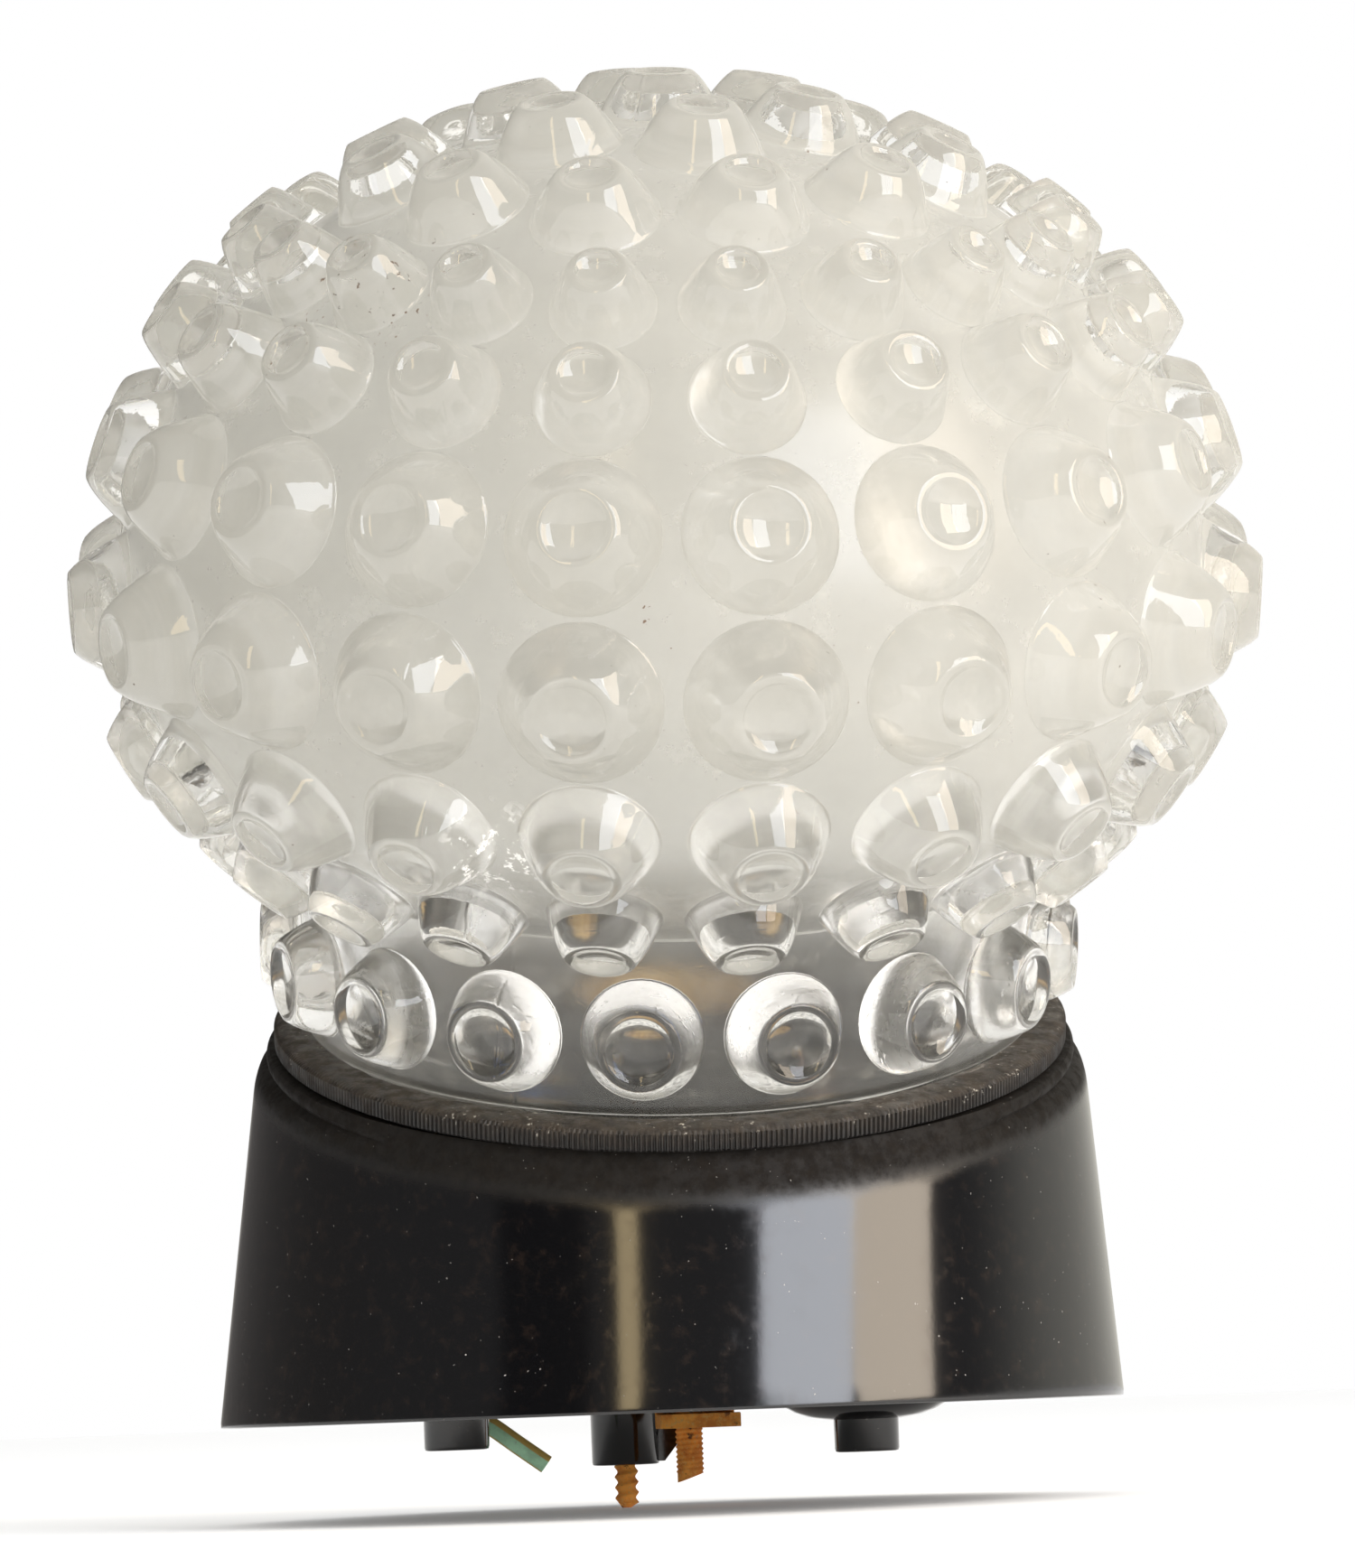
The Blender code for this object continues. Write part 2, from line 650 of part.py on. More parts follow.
def glass_mesh():
    glass = GlassSkin()
    above, above_turn = globe_cells(glass)
    upper, lower, ring_turn = boss_cells(
        glass, COLLAR_BOSSES, math.radians(COLLAR_BOSS_TURN), on_collar, 0.0,
        -COLLAR_BOSS_FOOT_R - COLLAR_CELL_MARGIN, COLLAR_BOSS_FOOT_R + COLLAR_CELL_MARGIN,
        COLLAR_BOSS_FOOT_R,
        COLLAR_BOSS_CAP_R, COLLAR_BOSS_HEIGHT)
    glass.bridge(above, upper, above_turn, ring_turn)

    rings = [circle(COLLAR_R, COLLAR_LOW_H + COLLAR_CHAMFER, SIDES),
             circle(COLLAR_R - COLLAR_CHAMFER, COLLAR_LOW_H, SIDES),
             circle(GLASS_THREAD_R, COLLAR_LOW_H, SIDES)]
    for height in spread(COLLAR_LOW_H - THREAD_RUNOUT, GLASS_LOW_H + THREAD_RUNOUT / 2,
                         THREAD_ROWS):
        rings.append(thread_ring(GLASS_THREAD_R, THREAD_DEPTH, THREAD_PITCH, height, SIDES))
    rings.append(circle(GLASS_THREAD_R - THREAD_DEPTH, GLASS_LOW_H, SIDES))
    rings.append(circle(GLASS_NECK_BORE_R, GLASS_LOW_H, SIDES))
    index_rings = [[glass.point(p) for p in ring] for ring in rings]
    glass.bridge(lower, index_rings[0], ring_turn, math.pi / 2)
    for low, high in zip(index_rings, index_rings[1:]):
        band(glass.faces, low, high)

    inner = [(GLASS_NECK_BORE_R, COLLAR_LOW_H)]
    inner.append((COLLAR_R - GLASS_WALL, COLLAR_LOW_H + GLASS_WALL))
    inner_r = GLOBE_R - GLASS_WALL
    start = -math.acos((COLLAR_R - GLASS_WALL) / inner_r)
    for angle in spread(start, math.radians(INNER_POLE), INNER_ROWS):
        half_height = (GLOBE_TOP if angle > 0 else GLOBE_BOTTOM) - GLASS_WALL
        inner.append((inner_r * math.cos(angle), GLOBE_MID_H + half_height * math.sin(angle)))
    inner_rings = []
    for radius, height in inner:
        inner_rings.append(glass.ring(radius, height, INNER_SIDES, 0.0))
    glass.bridge(index_rings[-1], inner_rings[0], math.pi / 2, 0.0)
    for low, high in zip(inner_rings, inner_rings[1:]):
        band(glass.faces, low, high)
    glass.faces.append(tuple(inner_rings[-1]))
    return glass.vertices, glass.faces


def gasket_mesh():
    low = LEDGE_H + GAP
    top = low + GASKET_T
    edge_r = GASKET_OUT_R - GASKET_ROUND / 2
    profile = ((GASKET_IN_R, low), (edge_r, low), (GASKET_OUT_R, low + GASKET_ROUND),
               (GASKET_OUT_R, top - GASKET_ROUND), (edge_r, top), (GASKET_IN_R, top))
    return turned(profile, SIDES, closed=True)


# ---- Lampholder ---------------------------------------------------------------
def holder_foot_outline(count=32):
    outline = []
    for i in range(count):
        angle = 2 * math.pi * i / count
        radius = min(HOLDER_FOOT_R, HOLDER_FOOT_HALF / max(abs(math.cos(angle)), 1e-6))
        outline.append((radius * math.cos(angle), radius * math.sin(angle)))
    return outline


def strap_channel(inner_x, outer_x):
    low = STRAP_H - GAP
    return prism(((inner_x, -CHANNEL_HALF), (outer_x, -CHANNEL_HALF), (outer_x, CHANNEL_HALF),
                  (inner_x, CHANNEL_HALF)), low, low + CHANNEL_DEPTH)


def foot_hole(radius, low, x, y=0.0):
    """Tool for a hole from one height up through the top of the holder's foot."""
    return cylinder(radius, low, HOLDER_FOOT_TOP_H + CUT_MARGIN, HOLE_SIDES, (x, y))


def make_holder(moulding, neck):
    foot = prism(holder_foot_outline(), HOLDER_LOW_H, HOLDER_FOOT_TOP_H)
    holder = add_solid("lampholder_body", foot, moulding, neck)
    barrel_low = HOLDER_FOOT_TOP_H - 1.0
    barrel = turned(((BARREL_BORE_R, barrel_low), (BARREL_R, barrel_low),
                     (BARREL_R, HOLDER_TOP_H - BARREL_CHAMFER),
                     (BARREL_R - BARREL_CHAMFER, HOLDER_TOP_H),
                     (BARREL_BORE_R, HOLDER_TOP_H)), 32, closed=True)
    combine(holder, "add_barrel", barrel, neck, "UNION")
    recess = cylinder(RECESS_R, HOLDER_LOW_H - CUT_MARGIN, HOLDER_LOW_H + RECESS_DEPTH, 24)
    combine(holder, "cut_recess", recess, neck, "DIFFERENCE")
    channels = gather(strap_channel(LIVE_CHANNEL_X, CHANNEL_END_X),
                      strap_channel(-CHANNEL_END_X, NEUTRAL_CHANNEL_X))
    combine(holder, "cut_channels", channels, neck, "DIFFERENCE")
    holes = gather(foot_hole(HOLDER_BORE_R, HOLDER_LOW_H - CUT_MARGIN, 0.0, HOLDER_SCREW_Y),
                   foot_hole(HOLDER_BORE_R, HOLDER_LOW_H - CUT_MARGIN, 0.0, -HOLDER_SCREW_Y),
                   foot_hole(TERMINAL_HOLE_R, TERMINAL_HOLE_LOW_H, TERMINAL_X),
                   foot_hole(TERMINAL_HOLE_R, TERMINAL_HOLE_LOW_H, -TERMINAL_X),
                   foot_hole(SMALL_HOLE_R, SMALL_HOLE_LOW_H, CONTACT_SCREW_X),
                   foot_hole(SMALL_HOLE_R, SMALL_HOLE_LOW_H, SHELL_SCREW_X))
    combine(holder, "cut_screw_holes", holes, neck, "DIFFERENCE")


def shell_mesh():
    """Thin screw shell with an inward flange at its foot."""
    count = SHELL_SIDES
    top = SHELL_TOP_H
    low = SHELL_FLANGE_H
    sheet_top = low + SHELL_SHEET
    heights = spread(low + 1.4, top - 0.6, SHELL_ROWS)
    rings = [circle(SHELL_HOLE_R, low, count), circle(SHELL_FLANGE_R, low, count)]
    for height in heights:
        rings.append(thread_ring(SHELL_THREAD_R + SHELL_SHEET, SHELL_THREAD_DEPTH,
                                 SHELL_PITCH, height, count))
    rings += [circle(SHELL_LIP_R, top, count), circle(SHELL_LIP_R - SHELL_SHEET, top, count)]
    for height in reversed(heights):
        rings.append(thread_ring(SHELL_THREAD_R, SHELL_THREAD_DEPTH,
                                 SHELL_PITCH, height, count))
    rings.append(circle(SHELL_FLANGE_R - SHELL_SHEET, sheet_top, count))
    rings.append(circle(SHELL_HOLE_R, sheet_top, count))
    return skin(rings, closed=True)


def headed(low, under_head, head_r, head_h, shank_r, centre=(0.0, 0.0), count=12):
    """Pan-head screw or rivet along +Z; the shank runs from low to under_head."""
    profile = ((shank_r * 0.6, low), (shank_r, low + shank_r * 0.6), (shank_r, under_head),
               (head_r, under_head), (head_r, under_head + head_h * 0.55),
               (head_r * 0.65, under_head + head_h))
    return turned(profile, count, centre=centre)


def slot_cut(target, name, centre, top, head_r, depth, parent, width=0.8):
    x, y = centre
    outline = ((x - head_r - 1, y - width / 2), (x + head_r + 1, y - width / 2),
               (x + head_r + 1, y + width / 2), (x - head_r - 1, y + width / 2))
    combine(target, name, prism(outline, top - depth, top + 2.0), parent, "DIFFERENCE")


def make_slotted(name, low, under_head, head_r, head_h, shank_r, centre, material, parent):
    screw = add_solid(name, headed(low, under_head, head_r, head_h, shank_r, centre),
                      material, parent)
    slot_cut(screw, f"slot_{name}", centre, under_head + head_h, head_r, head_h * 0.5, parent)
    return screw


def strap_hole(radius, x, strap_low):
    return cylinder(radius, strap_low - STRAP_T, strap_low + 2 * STRAP_T, HOLE_SIDES, (x, 0.0))


def make_contacts(brass, steel, neck):
    shell = add_solid("screw_shell", shell_mesh(), brass, neck)
    flange_hole = cylinder(SHELL_SCREW_HOLE_R, SHELL_FLANGE_H - SHELL_SHEET,
                           SHELL_FLANGE_H + 2 * SHELL_SHEET, HOLE_SIDES, (SHELL_SCREW_X, 0.0))
    combine(shell, "cut_shell_flange", flange_hole, neck, "DIFFERENCE")

    top = STRAP_H + STRAP_T
    lip = top + LIVE_LIP_RISE
    lip_x = LIVE_STRAP_X + STRAP_T
    live_profile = ((STRAP_END_X, STRAP_H), (LIVE_STRAP_X, STRAP_H), (LIVE_STRAP_X, lip),
                    (lip_x, lip), (lip_x, top), (STRAP_END_X, top))
    live = add_solid("live_strap", side_prism(live_profile, -STRAP_HALF, STRAP_HALF),
                     brass, neck)
    combine(live, "cut_live_strap",
            gather(strap_hole(TERMINAL_HOLE_R, TERMINAL_X, STRAP_H),
                   strap_hole(SMALL_HOLE_R, CONTACT_SCREW_X, STRAP_H)), neck, "DIFFERENCE")

    raised = SHELL_FLANGE_H - GAP - STRAP_T
    step_x = NEUTRAL_STEP_X - STRAP_T
    neutral_profile = ((-STRAP_END_X, STRAP_H), (NEUTRAL_STEP_X, STRAP_H),
                       (NEUTRAL_STEP_X, raised), (NEUTRAL_STRAP_X, raised),
                       (NEUTRAL_STRAP_X, raised + STRAP_T), (step_x, raised + STRAP_T),
                       (step_x, top), (-STRAP_END_X, top))
    neutral = add_solid("neutral_strap", side_prism(neutral_profile, -STRAP_HALF, STRAP_HALF),
                        brass, neck)
    combine(neutral, "cut_neutral_strap",
            gather(strap_hole(TERMINAL_HOLE_R, -TERMINAL_X, STRAP_H),
                   strap_hole(SMALL_HOLE_R, SHELL_SCREW_X, raised)), neck, "DIFFERENCE")

    add_solid("centre_contact", side_prism(TONGUE, -TONGUE_HALF, TONGUE_HALF), brass, neck)

    make_slotted("contact_screw", SMALL_SCREW_LOW_H, top + GAP, 2.2, SMALL_HEAD_H,
                 SMALL_SHANK_R, (CONTACT_SCREW_X, 0.0), steel, neck)
    make_slotted("shell_screw", SMALL_SCREW_LOW_H, SHELL_FLANGE_H + SHELL_SHEET + GAP, 1.9,
                 SMALL_HEAD_H, SMALL_SHANK_R, (SHELL_SCREW_X, 0.0), steel, neck)


def make_terminal(side, name, brass, steel, neck):
    """Clamp plate and screw on one strap end; side is +1 or -1 along x."""
    x = side * TERMINAL_X
    plate_low = STRAP_H + STRAP_T + 2 * GAP + 2 * CORE_R
    plate_top = plate_low + CLAMP_T
    x_low, x_high = sorted((side * CLAMP_X[0], side * CLAMP_X[1]))
    outline = ((x_low, -CLAMP_HALF), (x_high, -CLAMP_HALF), (x_high, CLAMP_HALF),
               (x_low, CLAMP_HALF))
    plate = add_solid(f"{name}_clamp_plate", prism(outline, plate_low, plate_top), brass, neck)
    hole = cylinder(CLAMP_HOLE_R, plate_low - CLAMP_T, plate_top + CLAMP_T, HOLE_SIDES, (x, 0.0))
    combine(plate, f"cut_{name}_plate", hole, neck, "DIFFERENCE")
    head_r, head_h = TERMINAL_HEAD
    make_slotted(f"{name}_terminal_screw", TERMINAL_SCREW_LOW_H, plate_top + GAP, head_r,
                 head_h, TERMINAL_SHANK_R, (x, 0.0), steel, neck)


def hex_nut(across, bore_r, low, high, centre):
    outer = circle(across / math.sqrt(3), low, 6, math.pi / 6, centre)
    inner = circle(bore_r, low, 6, math.pi / 6, centre)
    lift = [(x, y, high) for x, y, _ in outer]
    inner_lift = [(x, y, high) for x, y, _ in inner]
    return skin([outer, lift, inner_lift, inner], closed=True)


def make_holder_fixings(steel, neck):
    head_r, head_h = HOLDER_HEAD
    nut_top = FLOOR_UNDER_H - GAP
    for name, y in (("front", -HOLDER_SCREW_Y), ("back", HOLDER_SCREW_Y)):
        make_slotted(f"holder_screw_{name}", HOLDER_SCREW_LOW_H, HOLDER_FOOT_TOP_H + GAP,
                     head_r, head_h, HOLDER_SHANK_R, (0.0, y), steel, neck)
        nut = hex_nut(NUT_ACROSS, HOLDER_NUT_BORE_R, nut_top - HOLDER_NUT_T, nut_top, (0.0, y))
        add_solid(f"holder_nut_{name}", nut, steel, neck)


# ---- Earth terminal, mounting screw, washer and wires -------------------------
def earth_bracket_mesh():
    """Folded steel strap: earth plate, upright leg and a flange under the sloping floor."""
    x_low, x_high, y_low, y_high = EARTH_PLATE
    under = EARTH_PLATE_TOP - EARTH_PLATE_T
    thick = BRACKET_T
    slope = math.tan(math.radians(NECK_TILT))
    lean = math.cos(math.radians(NECK_TILT))

    def floor_under(y):
        return (FLOOR_UNDER_H - GAP) / lean + (y - NECK_FOOT_Y) * slope

    flange_end = BRACKET_FLANGE_END_Y
    outline = ((y_low, under), (y_high, under), (y_high, floor_under(y_high)),
               (flange_end, floor_under(flange_end)),
               (flange_end, floor_under(flange_end) - thick / lean),
               (y_high - thick, floor_under(y_high - thick) - thick / lean),
               (y_high - thick, EARTH_PLATE_TOP), (y_low, EARTH_PLATE_TOP))
    return side_prism(outline, x_low, x_high, axis="X")


def make_earth(rust, steel, rim, neck):
    bracket = add_solid("earth_bracket", earth_bracket_mesh(), rust, rim)
    stud_x = EARTH_STUD[0]
    plate_under = EARTH_PLATE_TOP - EARTH_PLATE_T
    stud_hole = cylinder(EARTH_HOLE_R, plate_under - CUT_MARGIN, EARTH_PLATE_TOP + CUT_MARGIN,
                         HOLE_SIDES, EARTH_STUD)
    combine(bracket, "cut_stud_hole", stud_hole, rim, "DIFFERENCE")
    far_x = EARTH_PLATE[0] - CUT_MARGIN
    beside = ((far_x, 0.0), (BRACKET_LEG_X, 0.0), (BRACKET_LEG_X, SCREW_BOSS_TOP),
              (far_x, SCREW_BOSS_TOP))
    combine(bracket, "cut_leg_side",
            side_prism(beside, BRACKET_FLANGE_END_Y - CUT_MARGIN, EARTH_PLATE[3] + CUT_MARGIN),
            rim, "DIFFERENCE")
    flange_under = FLOOR_UNDER_H - GAP - BRACKET_T
    rivet_hole = cylinder(RIVET_BORE_R, flange_under - CUT_MARGIN, FLOOR_UNDER_H + GAP,
                          HOLE_SIDES, RIVET_AT)
    combine(bracket, "cut_rivet_hole", rivet_hole, neck, "DIFFERENCE")
    low = flange_under - GAP
    top = FLOOR_TOP_H + GAP
    round_r, edge = RIVET_ROUND
    rivet = turned(((RIVET_HEAD_R - round_r, low - RIVET_HEAD_H), (RIVET_HEAD_R, low - edge),
                    (RIVET_HEAD_R, low), (RIVET_SHANK_R, low), (RIVET_SHANK_R, top),
                    (RIVET_HEAD_R, top), (RIVET_HEAD_R, top + edge),
                    (RIVET_HEAD_R - round_r, top + RIVET_HEAD_H)), HOLE_SIDES, centre=RIVET_AT)
    add_solid("bracket_rivet", rivet, steel, neck)

    level_end = circle(EARTH_STUD_R, EARTH_STUD_LOW, HOLE_SIDES, 0.0, EARTH_STUD)
    cut_end = [(x, y, z + EARTH_STUD_CUT_SLOPE * (x - stud_x)) for x, y, z in level_end]
    stud = skin([cut_end, circle(EARTH_STUD_R, EARTH_STUD_TOP, HOLE_SIDES, 0.0, EARTH_STUD),
                 circle(EARTH_STUD_R - EARTH_STUD_TIP, EARTH_STUD_TOP + EARTH_STUD_TIP,
                        HOLE_SIDES, 0.0, EARTH_STUD)])
    add_solid("earth_stud", stud, rust, rim)
    washer_low = EARTH_PLATE_TOP + 2 * GAP + 2 * CORE_R
    washer_top = washer_low + EARTH_WASHER_T
    washer = turned(((EARTH_HOLE_R, washer_low), (EARTH_WASHER_R, washer_low),
                     (EARTH_WASHER_R, washer_top), (EARTH_HOLE_R, washer_top)), POST_SIDES,
                    closed=True, centre=EARTH_STUD)
    add_solid("earth_washer", washer, steel, rim)
    nut_low = washer_top + GAP
    nut = hex_nut(NUT_ACROSS, EARTH_NUT_BORE_R, nut_low, nut_low + EARTH_NUT_T, EARTH_STUD)
    add_solid("earth_nut", nut, steel, rim)


def make_mounting_screw(rust, rim):
    x, y, _ = SCREW_BOSS
    tip = -RIM_PLANE_Z
    head = SCREW_BOSS_TOP + GAP
    top = head + MOUNTING_HEAD_H
    top_r, edge = MOUNTING_HEAD_EDGE
    profile = ((MOUNTING_TIP_R, tip), (MOUNTING_SHANK_R, tip + MOUNTING_TIP_H),
               (MOUNTING_SHANK_R, head), (MOUNTING_HEAD_R, head), (MOUNTING_HEAD_R, head + edge),
               (top_r, top))
    screw = add_solid("mounting_screw", turned(profile, HOLE_SIDES, centre=(x, y)), rust, rim)
    slot_cut(screw, "slot_mounting_screw", (x, y), top, MOUNTING_HEAD_R, MOUNTING_HEAD_H / 2,
             rim)


def make_pillar_washer(bakelite, rim):
    """Dished washer round the right-hand pillar."""
    washer = turned(PILLAR_WASHER, 24, closed=True, centre=RIGHT_PILLAR[:2])
    add_solid("pillar_washer", washer, bakelite, rim)


def make_wire(name, core_path, sleeve_path, colour, copper, parent):
    add_solid(f"{name}_core", swept(core_path, CORE_R), copper, parent)
    add_solid(f"{name}_sleeve", swept(sleeve_path, WIRE_R, WIRE_BORE_R), colour, parent)


def make_wires(earth_sleeve, live_sleeve, neutral_sleeve, copper, rim, neck):
    rest_z = EARTH_PLATE_TOP + GAP + CORE_R
    earth_path = smooth_path(((-0.6, 17.6, rest_z), (-3.7, 17.2, rest_z + 0.7), (-10.3, 14.6, 4.6),
                              (-20.3, 10.6, 8.6), (-28.9, 8.4, 8.0), (-31.9, 7.6, 4.2),
                              (-29.5, 7.2, 1.2), (-25.9, 7.0, -1.1), (-22.3, 7.0, -3.8),
                              (-18.5, 7.0, -6.6)))
    make_wire("earth_wire", earth_path, earth_path[3:], earth_sleeve, copper, rim)
    core_h = STRAP_H + STRAP_T + GAP + CORE_R
    for side, name, sleeve in ((1, "live_wire", live_sleeve), (-1, "neutral_wire", neutral_sleeve)):
        path = smooth_path(((side * 22.3, 3.0, core_h), (side * 22.3, -1.5, core_h),
                            (side * 22.3, -6.5, core_h), (side * 21.4, -15.0, 39.6),
                            (side * 15.5, -26.0, 39.0), (side * 6.5, -34.5, 36.0),
                            (side * 2.6, -38.0, 29.5), (side * 2.4, -38.2, 23.5),
                            (side * 2.4, -38.0, 18.0)))
        make_wire(name, path, path[4:], sleeve, copper, neck)


# ---- Assembly -----------------------------------------------------------------
def build():
    clear_scene()
    rim = make_empty("rim_frame", (0.0, RIM_CENTRE_Y, RIM_PLANE_Z))
    neck = make_empty("neck_frame", (0.0, NECK_FOOT_Y, 0.0), rim, NECK_TILT)

    bakelite = make_material("bakelite", (0.018, 0.017, 0.018), 0.28)
    glass = make_material("clear_glass", (0.86, 0.85, 0.81), 0.05)
    rubber = make_material("rubber", (0.035, 0.026, 0.022), 0.8)
    moulding = make_material("holder_bakelite", (0.03, 0.025, 0.022), 0.35)
    brass = make_material("brass", (0.72, 0.53, 0.22), 0.35, 1.0)
    steel = make_material("zinc_steel", (0.55, 0.55, 0.56), 0.4, 1.0)
    rust = make_material("rusty_steel", (0.42, 0.17, 0.05), 0.85, 0.3)
    copper = make_material("copper", (0.80, 0.42, 0.25), 0.35, 1.0)
    green = make_material("green_yellow_pvc", (0.28, 0.62, 0.38), 0.5)
    brown = make_material("brown_pvc", (0.20, 0.09, 0.05), 0.5)
    blue = make_material("blue_pvc", (0.10, 0.22, 0.55), 0.5)

    make_housing(bakelite, rim, neck)
    add_solid("glass_shade", glass_mesh(), glass, neck)
    add_solid("rim_gasket", gasket_mesh(), rubber, neck)
    make_holder(moulding, neck)
    make_contacts(brass, steel, neck)
    make_terminal(1, "live", brass, steel, neck)
    make_terminal(-1, "neutral", brass, steel, neck)
    make_holder_fixings(steel, neck)
    make_earth(rust, steel, rim, neck)
    make_mounting_screw(rust, rim)
    make_pillar_washer(bakelite, rim)
    make_wires(green, brown, blue, copper, rim, neck)


build()
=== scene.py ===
"""Looks for the slanted lamp base with its bubble-glass globe shade.

Fine pieces are built in the part's own two frames: the rim frame lies in the mounting rim,
and the neck frame leans forwards (towards -Y) and carries the glass, its gasket and the
lampholder.  Lengths are millimetres and become metres when a piece is made.
"""
from math import acos, atan2, cos, hypot, pi, radians, sin, sqrt

import bmesh
import bpy
from mathutils import Matrix, Vector


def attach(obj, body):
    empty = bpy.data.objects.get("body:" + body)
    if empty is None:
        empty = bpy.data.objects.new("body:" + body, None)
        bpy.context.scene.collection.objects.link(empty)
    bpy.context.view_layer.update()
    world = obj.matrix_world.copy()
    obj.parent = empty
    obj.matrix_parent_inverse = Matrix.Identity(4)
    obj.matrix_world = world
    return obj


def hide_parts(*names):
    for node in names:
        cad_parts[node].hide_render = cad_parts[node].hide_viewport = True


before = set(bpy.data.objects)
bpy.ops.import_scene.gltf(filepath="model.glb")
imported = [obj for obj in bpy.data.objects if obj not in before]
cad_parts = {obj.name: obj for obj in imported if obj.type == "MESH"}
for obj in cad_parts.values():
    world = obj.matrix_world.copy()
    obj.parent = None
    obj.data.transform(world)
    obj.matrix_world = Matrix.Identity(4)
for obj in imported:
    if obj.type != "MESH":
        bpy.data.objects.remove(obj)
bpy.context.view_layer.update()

MM = 0.001

# ---- Dimensions shared with the part ----
RIM_PLANE_Z = 13.4
RIM_CENTRE_Y = 22.3
NECK_TILT = 20.76
NECK_FOOT_Y = 12.7
RIM_R = 62.5
RIM_SHIFT_X = -1.1
SHOULDER_R = 57.9
SHOULDER_H = 47.3
LEDGE_H = 55.6
LEDGE_R = 55.6
WALL = 3.6
FLOOR_TOP_H = 30.0
FLOOR_UNDER_H = 27.0
THREAD_PITCH = 7.0
THREAD_DEPTH = 0.8
BORE_THREAD_R = 48.3
GLASS_THREAD_R = 47.75
BORE_LOW_H = 41.8
GLASS_LOW_H = 43.4
GAP = 0.3
COLLAR_R = 50.4
COLLAR_LOW_H = 59.4
GLOBE_R = 73.3
GLOBE_TOP = 62.0
GLOBE_BOTTOM = 51.8
GLOBE_MID_H = 120.5
GLASS_WALL = 4.0
GLASS_NECK_BORE_R = 43.4
# Rings of bosses: count, turn in degrees, arc length from the pole, foot and cap radius, height.
BOSS_RINGS = (
    (6, 11.2, 19.2, 8.7, 4.3, 6.2),
    (12, 12.4, 37.8, 8.6, 4.2, 6.4),
    (20, 5.4, 55.3, 6.9, 3.7, 7.2),
    (20, 5.4, 69.4, 7.5, 4.2, 7.5),
    (20, 5.4, 87.0, 10.0, 5.0, 6.5),
    (20, 5.4, 107.7, 10.5, 5.3, 7.0),
    (20, 5.4, 127.2, 9.2, 4.8, 6.9),
    (20, 5.4, 144.2, 7.6, 4.3, 6.2),
)
TOP_BOSS_FOOT_R = 8.8
TOP_BOSS_CAP_R = 4.3
TOP_BOSS_HEIGHT = 6.2
COLLAR_BOSSES = 17
COLLAR_BOSS_TURN = 12.8
COLLAR_BOSS_H = 69.9
COLLAR_BOSS_FOOT_R = 8.2
COLLAR_BOSS_CAP_R = 5.3
COLLAR_BOSS_HEIGHT = 5.6
LEFT_PILLAR = (-31.1, 0.0, -4.1)
RIGHT_PILLAR = (25.8, 0.0, -6.4)
SCREW_BOSS = (-5.8, 33.0, -7.3)
PILLAR_R = 4.5
PILLAR_TOP = 25.7
PILLAR_BORE_R = 2.3
SCREW_BOSS_R = 4.9
SCREW_BOSS_TOP = 42.5
SCREW_BORE_R = 2.1
CABLE_HOLE = (0.0, -38.0)
CABLE_HOLE_R = 6.5
HOLDER_SCREW_Y = 21.4
RIVET_AT = (7.0, 11.0)
STRAP_TOP_H = 38.6
EARTH_PLATE_TOP = -0.3
EARTH_STUD = (2.4, 18.0)
EARTH_STUD_R = 2.0
WASHER_THICK = 0.8
NUT_FLATS = 7.0
WIRE_R = 1.32
WIRE_BORE_R = 1.0
CORE_R = 0.69

# ---- Fineness of the visible meshes ----
FINE = 160                  # facets round the housing and the neck
BOSS_SIDES = 40             # facets round one boss, a multiple of four
GASKET_RIBS = 500
RIB_DEPTH = 0.32

UP = Vector((0.0, 0.0, 1.0))
RIM_FRAME = Matrix.Translation((0.0, RIM_CENTRE_Y, RIM_PLANE_Z))
NECK_IN_RIM = (Matrix.Translation((0.0, NECK_FOOT_Y, 0.0))
               @ Matrix.Rotation(radians(NECK_TILT), 4, "X"))
RIM_IN_NECK = NECK_IN_RIM.inverted()
NECK_FRAME = RIM_FRAME @ NECK_IN_RIM


